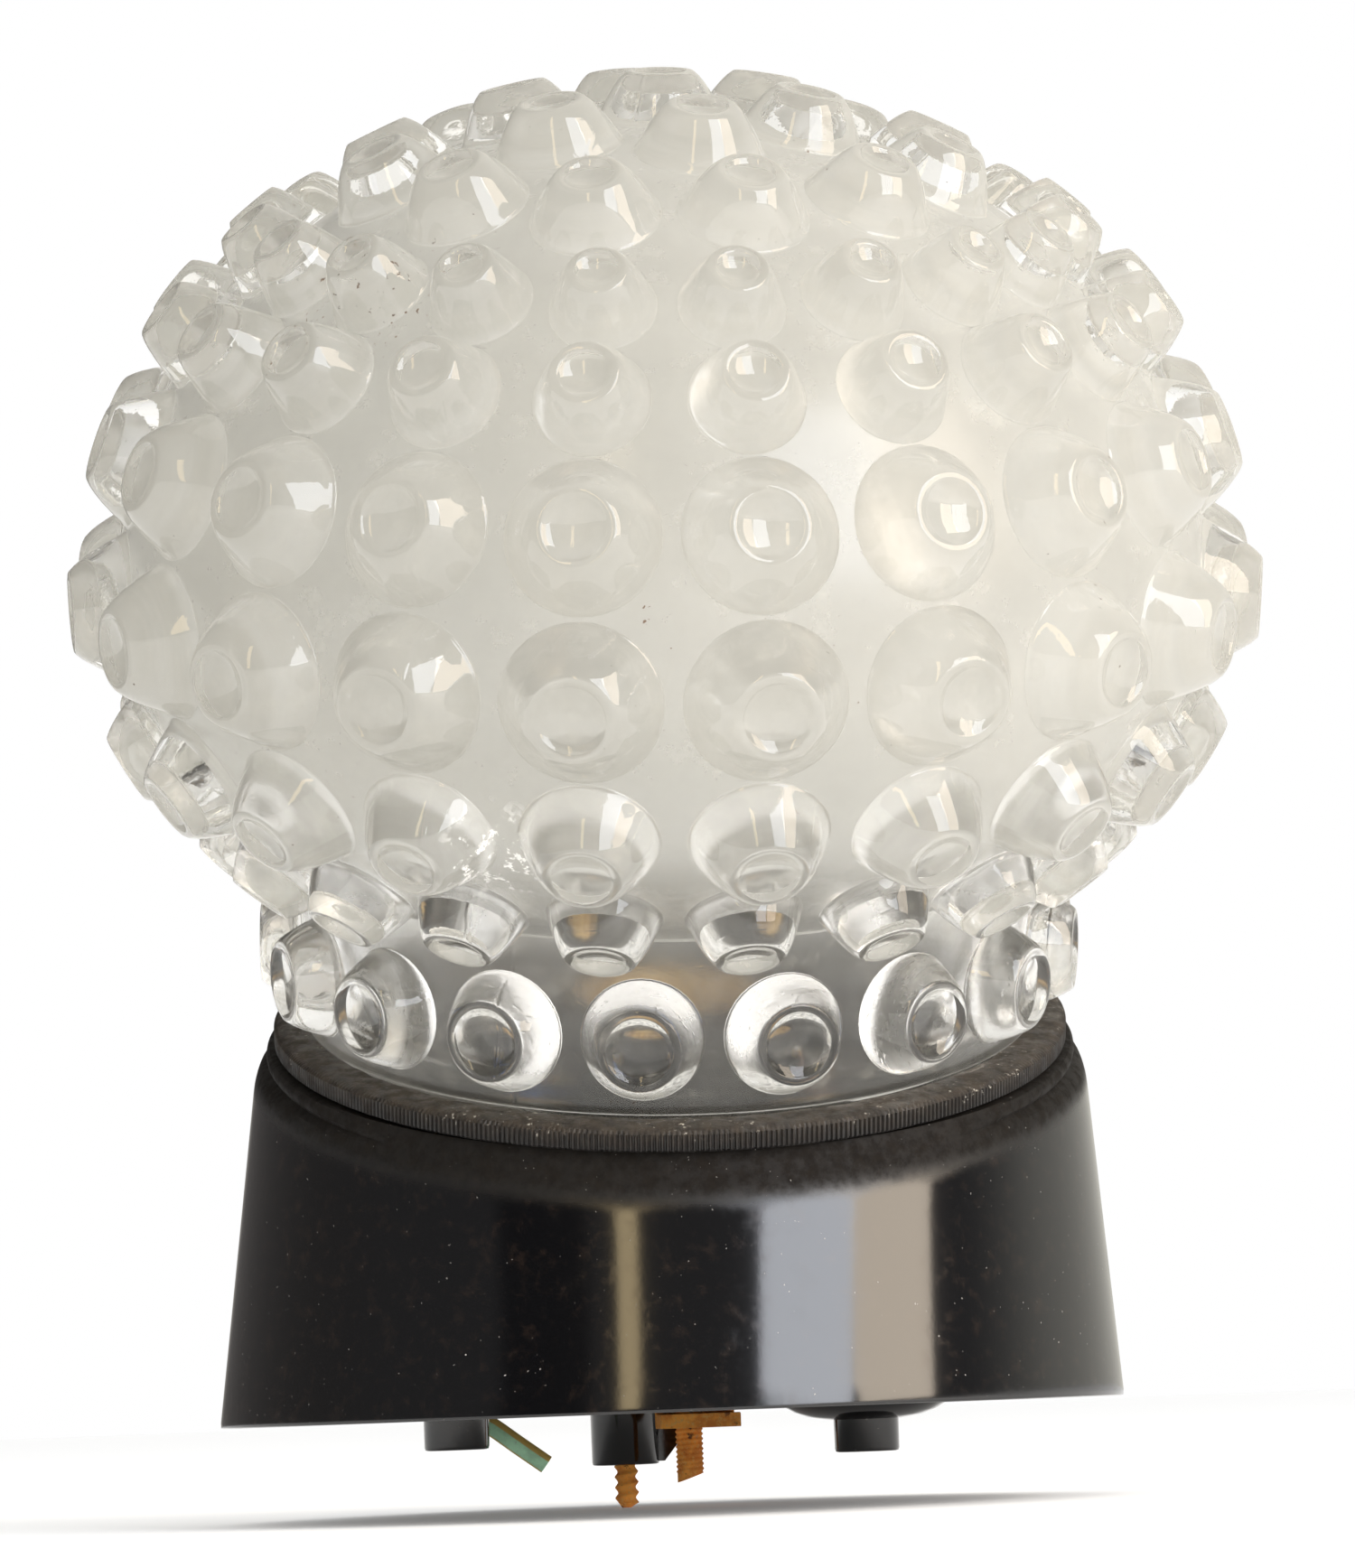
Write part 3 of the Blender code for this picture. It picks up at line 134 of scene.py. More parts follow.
# ---- Node graphs ----
class Graph:
    """Short calls that add nodes to a tree and hand back one of their outputs."""

    def __init__(self, owner):
        self.owner = owner
        self.tree = owner.node_tree
        self.tree.nodes.clear()

    def node(self, kind):
        return self.tree.nodes.new("ShaderNode" + kind)

    def add(self, kind, inputs=(), out=0, **settings):
        node = self.node(kind)
        for key, value in settings.items():
            setattr(node, key, value)
        for key, value in dict(inputs).items():
            self.put(node.inputs[key], value)
        return node.outputs[out]

    def put(self, socket, value):
        if isinstance(value, bpy.types.NodeSocket):
            self.tree.links.new(value, socket)
        elif isinstance(value, tuple) and len(value) == 3 and socket.type == "RGBA":
            socket.default_value = (*value, 1.0)
        else:
            socket.default_value = value

    def math(self, operation, a, b=0.0, clamp=False):
        return self.add("Math", {0: a, 1: b}, operation=operation, use_clamp=clamp)

    def times(self, a, b):
        return self.math("MULTIPLY", a, b)

    def plus(self, a, b):
        return self.math("ADD", a, b)

    def minus(self, a, b):
        return self.math("SUBTRACT", a, b)

    def most(self, a, b):
        return self.math("MAXIMUM", a, b)

    def mix(self, factor, a, b):
        return self.add("Mix", {0: factor, 6: a, 7: b}, out=2, data_type="RGBA")

    def blend(self, factor, a, b):
        return self.add("MixShader", {0: factor, 1: a, 2: b})

    def fade(self, value, low, high, start=0.0, end=1.0):
        """Smooth step of a value between two limits."""
        return self.add("MapRange",
                        {"Value": value, "From Min": low, "From Max": high,
                         "To Min": start, "To Max": end},
                        interpolation_type="SMOOTHSTEP")

    def attribute(self, name):
        return self.add("Attribute", out="Fac", attribute_name=name, attribute_type="GEOMETRY")

    def axes(self, vector):
        """The outputs X, Y and Z of a vector."""
        node = self.node("SeparateXYZ")
        self.put(node.inputs[0], vector)
        return node.outputs

    def vector_math(self, operation, a, b, out=0):
        return self.add("VectorMath", {0: a, 1: b}, out, operation=operation)

    def diffuse(self, colour, roughness=0.0):
        return self.add("BsdfDiffuse", {"Color": colour, "Roughness": roughness})

    def milky(self, colour, roughness=0.0):
        """Half scattered back and half passed on."""
        return self.blend(0.5, self.diffuse(colour, roughness),
                          self.add("BsdfTranslucent", {"Color": colour}))

    def noise(self, size_mm, detail=3.0, rough=0.5, distortion=0.0, place=None):
        """Noise whose features are about size_mm across, 0 to 1 round a mean of 0.5."""
        return self.add("TexNoise",
                        {"Vector": place or self.place, "Scale": 1.0 / (size_mm * MM),
                         "Detail": detail, "Roughness": rough, "Distortion": distortion})

    def near(self, point, radius_mm):
        """1 at a point, given in metres, and 0 beyond the radius."""
        distance = self.vector_math("DISTANCE", self.place, point, "Value")
        return self.fade(distance, radius_mm * MM, radius_mm * MM * 0.3)

    def bump(self, height, depth_mm, strength):
        return self.add("Bump", {"Height": height, "Distance": depth_mm * MM,
                                 "Strength": strength})

    def principled(self, colour, roughness, **more):
        named = {key.replace("_", " "): value for key, value in more.items()}
        return self.add("BsdfPrincipled", {"Base Color": colour, "Roughness": roughness, **named})

    def finish(self, surface, kind="OutputMaterial"):
        """Join the surface to the output; returns what the tree belongs to."""
        self.tree.links.new(surface, self.node(kind).inputs["Surface"])
        return self.owner


def new_material(name):
    material = bpy.data.materials.new(name)
    material.use_nodes = True
    g = Graph(material)
    g.place = g.add("TexCoord", out="Object")
    return g


# ---- Materials ----
SEAM_TURN = 28.0


def from_neck(g):
    return g.vector_math("SUBTRACT", g.place, tuple(NECK_FRAME.translation * MM))


def seam_mask(g):
    """1 on the thin vertical mould seam, in the neck frame."""
    local = from_neck(g)
    for axis, angle in (((1.0, 0.0, 0.0), -NECK_TILT), ((0.0, 0.0, 1.0), SEAM_TURN)):
        local = g.add("VectorRotate",
                      {"Vector": local, "Axis": axis, "Angle": radians(angle)},
                      rotation_type="AXIS_ANGLE")
    wobble = g.times(g.minus(g.noise(6.0, 2.0), 0.5), 0.0012)
    offset = g.math("ABSOLUTE", g.plus(g.axes(local)["X"], wobble))
    return g.fade(offset, 0.00045, 0.00008)


# Stains on the glass, in metres, each with its radius in millimetres.
STAINS = (((-0.0062, -0.0787, 0.1099), 3.2), ((0.0143, -0.0766, 0.1058), 2.0),
          ((-0.0023, -0.0597, 0.1646), 3.5), ((-0.040, -0.056, 0.154), 17.0))
SCALE_AT = (-0.0261, -0.0570, 0.0831)
SCALE_R = 11.0


def speck_mask(g):
    """Sparse brown specks, denser in soiled patches and at the stains."""
    patches = g.times(g.fade(g.noise(26.0, 2.0), 0.46, 0.72), 0.7)
    for point, radius in STAINS:
        patches = g.most(patches, g.near(point, radius * 1.5))
    fine = g.noise(1.1, 4.0, 0.62, 0.4)
    threshold = g.minus(0.76, g.times(patches, 0.115))
    return g.fade(g.minus(fine, threshold), 0.0, 0.025)


def scale_mask(g):
    """Flaking limescale low on the front of the glass."""
    flakes = g.fade(g.noise(2.4, 6.0, 0.75), 0.54, 0.60)
    return g.times(flakes, g.near(SCALE_AT, SCALE_R))


def neck_height(g):
    """Height along the leaning neck axis, in metres."""
    axis = tuple(NECK_FRAME.to_3x3() @ UP)
    return g.vector_math("DOT_PRODUCT", from_neck(g), axis, "Value")


FILM_LOW = 0.06
FILM_HIGH = 0.86
FILM_RISE = (0.080, 0.114)      # neck heights in metres between which the film thickens
HAZE_COLOUR = (0.593, 0.587, 0.558)


def glass_material(name, inner):
    """Pressed glass; the inner wall carries a milky film of dust and scale."""
    g = new_material(name)
    waviness = g.noise(9.0, 3.0, 0.5)
    ripple = g.noise(2.2, 3.0, 0.55)
    pits = g.fade(g.noise(0.8, 2.0), 0.62, 0.75)
    height = g.plus(g.times(waviness, 0.6), g.times(ripple, 0.25))
    height = g.minus(height, g.times(pits, 0.10))
    if not inner:
        height = g.plus(height, g.times(seam_mask(g), 0.9))
    normal = g.bump(height, 0.22, 0.55 if inner else 0.30)
    on_boss = g.attribute("on_boss")
    roughness = 0.18 if inner else g.fade(on_boss, 0.0, 1.0, 0.22, 0.03)
    clear = g.principled((0.985, 0.982, 0.965), roughness,
                         Transmission_Weight=1.0, IOR=1.5, Normal=normal)
    path = g.node("LightPath")
    shadow = g.most(path.outputs["Is Shadow Ray"], path.outputs["Is Diffuse Ray"])
    tint = (0.86, 0.85, 0.82) if inner else (0.95, 0.95, 0.93)
    surface = g.blend(shadow, clear, g.add("BsdfTransparent", {"Color": tint}))
    if inner:
        cloud = g.noise(34.0, 4.0, 0.6)
        grain = g.noise(3.0, 4.0, 0.7)
        film_colour = g.mix(g.fade(cloud, 0.3, 0.7, 0.0, 0.15), (0.573, 0.565, 0.532),
                            (0.85, 0.84, 0.80))
        film = g.milky(film_colour, 0.6)
        amount = g.fade(neck_height(g), *FILM_RISE, FILM_LOW, FILM_HIGH)
        amount = g.plus(amount, g.times(g.minus(cloud, 0.5), 0.25))
        amount = g.math("ADD", amount, g.times(g.minus(grain, 0.5), 0.20), clamp=True)
        surface = g.blend(amount, surface, film)
    else:
        dust_colour = g.mix(g.noise(2.0), (0.50, 0.45, 0.36), (0.80, 0.78, 0.70))
        dust_amount = g.fade(g.noise(5.0, 5.0, 0.65), 0.52, 0.80, 0.015, 0.16)
        surface = g.blend(dust_amount, surface, g.diffuse(dust_colour))
        haze = g.milky(HAZE_COLOUR)
        haze_amount = g.times(g.fade(on_boss, 0.0, 1.0, 0.34, 0.05),
                             g.fade(neck_height(g), *FILM_RISE, 0.15, 1.0))
        surface = g.blend(haze_amount, surface, haze)
        for mask, share, colour in ((speck_mask, 0.8, (0.10, 0.05, 0.022)),
                                    (scale_mask, 0.85, (0.88, 0.87, 0.84))):
            surface = g.blend(g.times(mask(g), share), surface, g.diffuse(colour))
    return g.finish(surface)


SHOULDER_RISE = (0.0482, 0.0520)    # neck heights in metres over which the shoulder dulls


def bakelite_material(name):
    """Black moulded Bakelite: glossy, mottled brown, dusty on its shoulder."""
    g = new_material(name)
    mottle = g.fade(g.noise(2.2, 5.0, 0.65), 0.50, 0.75)
    colour = g.mix(mottle, (0.0022, 0.0022, 0.0026), (0.010, 0.0065, 0.005))
    scuffs = g.fade(g.noise(14.0, 6.0, 0.7), 0.52, 0.72)
    roughness = g.plus(0.10, g.times(scuffs, 0.10))
    roughness = g.plus(roughness, g.times(mottle, 0.05))
    specks = g.fade(g.noise(0.55, 2.0), 0.745, 0.765)
    patches = g.fade(g.noise(30.0, 3.0, 0.6), 0.50, 0.66)
    speck_amount = g.times(specks, g.plus(g.times(patches, 0.7), 0.3))
    facing = g.axes(g.add("NewGeometry", out="Normal"))
    upward = g.most(g.fade(facing["Z"], 0.24, 0.42),
                    g.fade(neck_height(g), *SHOULDER_RISE))
    dust = g.fade(g.noise(2.6, 6.0, 0.75), 0.40, 0.66, 0.75, 0.97)
    dust = g.times(upward, dust)
    dusty = g.mix(g.noise(1.2), (0.004, 0.0034, 0.003), (0.015, 0.012, 0.009))
    colour = g.mix(dust, colour, dusty)
    colour = g.mix(speck_amount, colour, (0.45, 0.43, 0.40))
    shine = g.fade(dust, 0.0, 1.0, 0.5, 0.06)
    roughness = g.mix(g.most(dust, speck_amount), roughness, (0.8, 0.8, 0.8))
    grain = g.noise(0.5, 3.0, 0.6)
    swell = g.noise(12.0, 2.0)
    height = g.plus(g.times(grain, 0.12), swell)
    return g.finish(g.principled(colour, roughness, IOR=1.62, Specular_IOR_Level=shine,
                                 Normal=g.bump(height, 0.035, 0.5)))


def rubber_material():
    """Perished dark ring with pale scale along its upper edge."""
    g = new_material("gasket_rubber")
    tone = g.fade(g.noise(3.0, 5.0, 0.7), 0.35, 0.7)
    colour = g.mix(tone, (0.0025, 0.0022, 0.002), (0.009, 0.0065, 0.005))
    upper = g.attribute("upper")
    brown = g.times(upper, g.fade(g.noise(2.0, 4.0, 0.7), 0.36, 0.6, 0.25, 0.9))
    colour = g.mix(brown, colour, (0.036, 0.026, 0.017))
    flakes = g.fade(g.noise(0.9, 4.0, 0.7), 0.62, 0.70)
    flakes = g.times(flakes, g.fade(upper, 0.25, 0.75))
    flakes = g.times(flakes, g.fade(g.noise(16.0, 2.0), 0.42, 0.6))
    colour = g.mix(flakes, colour, (0.62, 0.58, 0.50))
    return g.finish(g.principled(colour, g.fade(tone, 0.0, 1.0, 0.45, 0.8), IOR=1.5,
                                 Normal=g.bump(g.noise(0.6, 4.0, 0.7), 0.12, 0.6)))


def metal_material(name, clean, tarnish, roughness, soiling):
    """Worn metal: clean patches, tarnished patches and fine scratches."""
    g = new_material(name)
    worn = g.fade(g.noise(3.5, 5.0, 0.65), 0.5 - soiling * 0.25, 0.72 - soiling * 0.25)
    colour = g.mix(worn, clean, tarnish)
    stretched = g.add("Mapping", {"Vector": g.place, "Scale": (1.0, 9.0, 2.0)})
    scratches = g.noise(1.3, 4.0, 0.7, place=stretched)
    rough = g.plus(g.fade(scratches, 0.3, 0.7, roughness, roughness + 0.12), g.times(worn, 0.22))
    metallic = g.fade(worn, 0.0, 1.0, 1.0, 0.72)
    return g.finish(g.principled(colour, rough, Metallic=metallic,
                                 Normal=g.bump(scratches, 0.02, 0.5)))


def rust_material():
    """Steel under bright orange rust with dark brown scale."""
    g = new_material("rusty_steel")
    broad = g.noise(2.6, 5.0, 0.65)
    fine = g.noise(0.5, 4.0, 0.7)
    colour = g.mix(g.fade(broad, 0.36, 0.62), (0.98, 0.43, 0.075), (0.72, 0.25, 0.045))
    colour = g.mix(g.fade(fine, 0.50, 0.66), colour, (0.80, 0.42, 0.11))
    dark = g.fade(g.noise(1.4, 4.0, 0.6), 0.60, 0.72)
    colour = g.mix(dark, colour, (0.10, 0.042, 0.02))
    bare = g.fade(g.noise(1.9, 3.0, 0.6), 0.66, 0.74)
    colour = g.mix(g.times(bare, 0.6), colour, (0.42, 0.38, 0.34))
    roughness = g.fade(bare, 0.0, 1.0, 0.88, 0.5)
    height = g.plus(fine, g.times(broad, 0.6))
    return g.finish(g.principled(colour, roughness, Metallic=g.times(bare, 0.7),
                                 Normal=g.bump(height, 0.16, 0.9)))


def plastic_material(name, main, stripe=None):
    """Dull wire insulation; a stripe runs along two opposite sides where one is given."""
    g = new_material(name)
    tone = g.noise(2.5, 4.0, 0.6)
    colour = g.mix(g.fade(tone, 0.35, 0.7), main, tuple(0.72 * c for c in main))
    if stripe:
        edge = g.plus(g.attribute("around"), g.times(g.minus(tone, 0.5), 0.08))
        colour = g.mix(g.fade(edge, 0.60, 0.66), colour, stripe)
    dirt = g.fade(g.noise(0.9, 5.0, 0.7), 0.58, 0.76)
    colour = g.mix(g.times(dirt, 0.7), colour, (0.20, 0.15, 0.09))
    return g.finish(g.principled(colour, g.fade(tone, 0.3, 0.7, 0.42, 0.6), IOR=1.52,
                                 Normal=g.bump(g.noise(0.8, 3.0), 0.05, 0.5)))


def floor_material():
    g = new_material("studio_floor")
    tone = g.noise(120.0, 3.0)
    colour = g.mix(tone, (0.90, 0.90, 0.895), (0.93, 0.93, 0.925))
    return g.finish(g.principled(colour, 0.8, Specular_IOR_Level=0.1,
                                 Emission_Color=(1.0, 1.0, 1.0), Emission_Strength=0.10,
                                 Normal=g.bump(g.noise(1.5, 3.0), 0.02, 0.3)))


# ---- Mesh building ----
class Skin:
    """Vertices and faces of one closed body, in millimetres of one of the two frames."""

    def __init__(self):
        self.vertices = []
        self.faces = []
        self.raised = []

    def point(self, position):
        self.vertices.append(Vector(position))
        return len(self.vertices) - 1

    def points(self, positions):
        return [self.point(p) for p in positions]

    def band(self, low, high):
        self.faces += zip(low, low[1:] + low[:1], high[1:] + high[:1], high)

    def stack(self, last, rings):
        """Add rings of points, each joined to the one before; returns the last."""
        for ring in rings:
            indexed = self.points(ring)
            self.band(last, indexed)
            last = indexed
        return last

    def bridge(self, low, high, low_turn, high_turn):
        """Triangles between two rings with different numbers of points."""
        i = 0
        j = 0
        n = len(low)
        m = len(high)
        start = round((low_turn - high_turn) / (2 * pi / m))
        base = high_turn + start * 2 * pi / m
        while i < n or j < m:
            next_low = low_turn + (i + 1) * 2 * pi / n
            next_high = base + (j + 1) * 2 * pi / m
            a = low[i % n]
            b = high[(j + start) % m]
            if j >= m or (i < n and next_low <= next_high):
                self.faces.append((a, low[(i + 1) % n], b))
                i += 1
            else:
                self.faces.append((a, high[(j + 1 + start) % m], b))
                j += 1

    def loft(self, rings, closed=False):
        """Skin equal rings of points; the ends are capped unless the loop is closed."""
        first = self.points(rings[0])
        last = self.stack(first, rings[1:])
        if closed:
            self.band(last, first)
        else:
            self.faces += (tuple(reversed(first)), tuple(last))
        return self


def around(radius, height, turn):
    """Point at a turn measured from the front (-Y), positive to the right."""
    return Vector((radius * sin(turn), -radius * cos(turn), height))


def turn_of(position):
    return atan2(position.x, -position.y)


def polar(radius, angle, height, centre=(0.0, 0.0)):
    return (centre[0] + radius * cos(angle), centre[1] + radius * sin(angle), height)


def angles(count):
    return [2.0 * pi * i / count for i in range(count)]


def circle(radius, height, count, centre=(0.0, 0.0)):
    return [polar(radius, angle, height, centre) for angle in angles(count)]


def spread(low, high, steps):
    return [low + (high - low) * i / steps for i in range(steps + 1)]


def turned(profile, count=48, closed=False, centre=(0.0, 0.0)):
    """Solid of revolution from (radius, height) points."""
    return Skin().loft([circle(r, h, count, centre) for r, h in profile], closed)


def cylinder(radius, low, high, count=48, centre=(0.0, 0.0)):
    return turned(((radius, low), (radius, high)), count, centre=centre)


SQUARE = ((-1, -1), (1, -1), (1, 1), (-1, 1))


def prism(outline, low, high):
    return Skin().loft([[(x, y, h) for x, y in outline] for h in (low, high)])


def neck_thread(mean, low, high, steps):
    return [thread_ring(mean, THREAD_DEPTH, THREAD_PITCH, height, FINE)
            for height in spread(low, high, steps)]


def thread_ring(mean, depth, pitch, height, count):
    """One ring of a right-handed round thread."""
    phase = 2.0 * pi * height / pitch
    return [polar(mean + depth * cos(phase - angle), angle, height) for angle in angles(count)]


def cut_thread(root, crest, pitch, low, high, centre, count=28, rows=8, width=0.5, taper=0.0):
    """Rings of a sharp thread; the crest fills width of the pitch and fades over the taper."""
    rings = []
    steps = max(2, round((high - low) / pitch * rows))
    for h in spread(low, high, steps):
        ring = []
        for i, angle in enumerate(angles(count)):
            phase = (h / pitch - i / count) % 1.0
            ridge = max(0.0, 1.0 - abs(phase - 0.5) * 2.0 / width)
            grown = min(1.0, (h - low) / taper) if taper else 1.0
            radius = (root + (crest - root) * ridge) * (0.45 + 0.55 * grown)
            ring.append(polar(radius, angle, h, centre))
        rings.append(ring)
    return rings


def stand_in(piece, body, node):
    """Let a piece ride on a CAD body in place of one of its nodes."""
    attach(piece, body)
    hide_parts(node)


def make_piece(name, skin, matrix, materials, sharp=35.0, outside=None, values=None):
    """Mesh object from a skin; faces after the outside ones take the second material."""
    mesh = bpy.data.meshes.new(name)
    mesh.from_pydata([matrix @ v * MM for v in skin.vertices], [], skin.faces)
    for key, numbers in (values or {}).items():
        attribute = mesh.attributes.new(key, "FLOAT", "POINT")
        attribute.data.foreach_set("value", numbers)
    work = bmesh.new()
    work.from_mesh(mesh)
    bmesh.ops.recalc_face_normals(work, faces=work.faces)
    if work.calc_volume(signed=True) < 0:
        bmesh.ops.reverse_faces(work, faces=work.faces)
    if outside:
        work.faces.ensure_lookup_table()
        for face in work.faces[outside:]:
            face.material_index = 1
    work.to_mesh(mesh)
    work.free()
    mesh.shade_smooth()
    mesh.set_sharp_from_angle(angle=radians(sharp))
    piece = bpy.data.objects.new(name, mesh)
    bpy.context.collection.objects.link(piece)
    for material in materials:
        mesh.materials.append(material)
    return piece


def replace_node(name, node, skin, matrix, slot, body="base", **more):
    """Fine piece for a CAD node, in the material that LOOKS lists under the slot's key."""
    stand_in(make_piece(name, skin, matrix, (LOOKS[slot],), **more), body, node)


def solved(target, operations):
    """Apply boolean operations to the target and remove the helpers."""
    helpers = []
    for number, (skin, matrix, operation) in enumerate(operations):
        helpers.append(make_piece(f"helper_{number}", skin, matrix, ()))
        modifier = target.modifiers.new(f"step_{number}", "BOOLEAN")
        modifier.operation = operation
        modifier.solver = "EXACT"
        modifier.object = helpers[-1]
    bpy.context.view_layer.update()
    graph = bpy.context.evaluated_depsgraph_get()
    result = bpy.data.meshes.new_from_object(target.evaluated_get(graph))
    target.modifiers.clear()
    target.data = result
    result.shade_smooth()
    result.set_sharp_from_angle(angle=radians(32.0))
    for helper in helpers:
        bpy.data.objects.remove(helper, do_unlink=True)


def gather(*skins):
    """Several closed skins as one."""
    whole = Skin()
    for skin in skins:
        start = len(whole.vertices)
        whole.vertices += skin.vertices
        whole.faces += [tuple(start + i for i in face) for face in skin.faces]
    return whole


# ---- Glass ----
# Flank of a boss: share of the way out to the foot, share of the height.
FLANK = ((0.985, 0.030), (0.965, 0.038), (0.93, 0.07), (0.86, 0.17), (0.72, 0.36),
         (0.52, 0.60), (0.34, 0.78), (0.20, 0.895), (0.11, 0.95), (0.05, 0.985), (0.0, 1.0))
# Cap of a boss: step inwards in mm and drop in mm.
CAP_EDGE = ((0.35, -0.05), (0.80, 0.0), (0.98, 0.10), (1.10, 0.27))
DISH_DEPTH = 0.95
DISH_STEPS = (0.80, 0.58, 0.36, 0.16)
BETWEEN = (0.34, 0.70)      # shares of the way from a cell's edge to the boss's foot


def half_height(rise):
    return GLOBE_TOP if rise > 0 else GLOBE_BOTTOM


def globe_point(position):
    """The nearest-by point on the globe, pushed out from its middle."""
    rho = hypot(position.x, position.y)
    rise = position.z - GLOBE_MID_H
    half = half_height(rise)
    angle = atan2(rise / half, rho / GLOBE_R)
    return around(GLOBE_R * cos(angle), GLOBE_MID_H + half * sin(angle), turn_of(position))


def collar_point(position):
    return around(COLLAR_R, position.z, turn_of(position))


def globe_outline(steps=600):
    """Outer globe profile from the pole down: arc length, radius, height, normal."""
    rows = []
    length = 0.0
    low_angle = -acos(COLLAR_R / GLOBE_R)
    for angle in spread(pi / 2, low_angle, steps):
        half = half_height(angle)
        radius = GLOBE_R * cos(angle)
        height = GLOBE_MID_H + half * sin(angle)
        if rows:
            length += hypot(radius - rows[-1][1], height - rows[-1][2])
        normal = Vector((cos(angle) / GLOBE_R, sin(angle) / half)).normalized()
        rows.append((length, radius, height, normal))
    return rows


OUTLINE = globe_outline()
GLOBE_ARC = OUTLINE[-1][0]


def on_outline(length):
    length = max(0.0, min(length, GLOBE_ARC))
    for low, high in zip(OUTLINE, OUTLINE[1:]):
        if length <= high[0]:
            share = (length - low[0]) / (high[0] - low[0])
            radius = low[1] + share * (high[1] - low[1])
            height = low[2] + share * (high[2] - low[2])
            return radius, height, low[3].lerp(high[3], share).normalized()
    return OUTLINE[-1][1:]


def on_collar(length):
    return COLLAR_R, COLLAR_BOSS_H - length, Vector((1.0, 0.0))


def raise_boss(skin, centre, across, along, normal, height, cap_r, foot):
    """Cone with a rounded shoulder, a flat rim and a dished cap, on a foot ring."""
    start = len(skin.vertices)
    feet = [skin.vertices[k] for k in foot]
    spokes = corner_spokes(across, along, len(foot))
    top = centre + normal * height
    last = skin.stack(foot, [[at * out + (top + spoke * cap_r) * (1.0 - out)
                              + normal * height * (up - (1.0 - out))
                              for at, spoke in zip(feet, spokes)] for out, up in FLANK])
    inner = [(cap_r - step, -drop) for step, drop in CAP_EDGE]
    dish_r, dish_at = inner[-1]
    inner += [(dish_r * share, dish_at - DISH_DEPTH * (1.0 - share * share))
              for share in DISH_STEPS]
    last = skin.stack(last, [[top + normal * lift + spoke * radius for spoke in spokes]
                             for radius, lift in inner])
    middle = skin.point(top + normal * (dish_at - DISH_DEPTH))
    skin.faces += [(a, b, middle) for a, b in zip(last, last[1:] + last[:1])]
    skin.raised.extend(range(start, len(skin.vertices)))


def corner_spokes(across, along, count):
    """Unit steps to the foot points; point 0 is the upper left corner of its cell."""
    return [across * cos(a - pi * 0.75) + along * sin(a - pi * 0.75) for a in angles(count)]


def boss_cells(skin, count, turn, surface, project, row_at, low_edge, high_edge, foot_r,
               cap_r, height):
    """One ring of cells, each with a boss; returns its two edge rings and their turn."""
    side = BOSS_SIDES // 4
    step = pi / count
    rows = [surface(length) for length in spread(low_edge, high_edge, side)]
    edges = [skin.points([around(radius, h, turn - step + 2 * step * i / side)
                          for i in range(side * count)]) for radius, h, _ in (rows[0], rows[-1])]
    uprights = [skin.points([around(radius, h, turn - step + 2 * step * i)
                             for radius, h, _ in rows[1:-1]]) for i in range(count)]
    radius, h, normal_2d = surface(row_at)
    for i in range(count):
        angle = turn + 2 * step * i
        first = side * i
        outline = [edges[0][first + k] for k in range(side)]
        outline.append(edges[0][(first + side) % (side * count)])
        outline += uprights[(i + 1) % count]
        outline += [edges[1][(first + k) % (side * count)] for k in range(side, -1, -1)]
        outline += uprights[i][::-1]
        centre = around(radius, h, angle)
        across = Vector((cos(angle), sin(angle), 0.0))
        normal = around(normal_2d.x, normal_2d.y, angle)
        along = across.cross(normal)
        foot_at = [project(centre + spoke * foot_r)
                   for spoke in corner_spokes(across, along, BOSS_SIDES)]
        cell = [skin.vertices[k] for k in outline]
        foot = skin.stack(outline, [[project(a.lerp(b, share)) for a, b in zip(cell, foot_at)]
                                    for share in BETWEEN + (1.0,)])
        raise_boss(skin, centre, across, along, normal, height, cap_r, foot)
    return edges[0], edges[1], turn - step


def build_globe(skin):
    first = BOSS_RINGS[0]
    edge = (TOP_BOSS_FOOT_R + first[2] - first[3]) / 2
    pole = UP * (GLOBE_MID_H + GLOBE_TOP)
    radius, height, _ = on_outline(TOP_BOSS_FOOT_R)
    across = Vector((1.0, 0.0, 0.0))
    along = Vector((0.0, 1.0, 0.0))
    foot = [UP * height + spoke * radius for spoke in corner_spokes(across, along, BOSS_SIDES)]
    above = skin.points(foot)
    above_turn = turn_of(foot[0])
    raise_boss(skin, pole, across, along, UP, TOP_BOSS_HEIGHT, TOP_BOSS_CAP_R, above)
    for number, (count, turn, row_at, foot_r, cap_r, height) in enumerate(BOSS_RINGS):
        low_edge = edge
        if number + 1 < len(BOSS_RINGS):
            after = BOSS_RINGS[number + 1]
            edge = row_at + (after[2] - row_at) * foot_r / (foot_r + after[3])
        else:
            edge = GLOBE_ARC
        upper, lower, ring_turn = boss_cells(
            skin, count, radians(turn), on_outline, globe_point, row_at,
            low_edge + 0.15, edge - 0.15, foot_r, cap_r, height)
        skin.bridge(above, upper, above_turn, ring_turn)
        above, above_turn = lower, ring_turn
    return above, above_turn


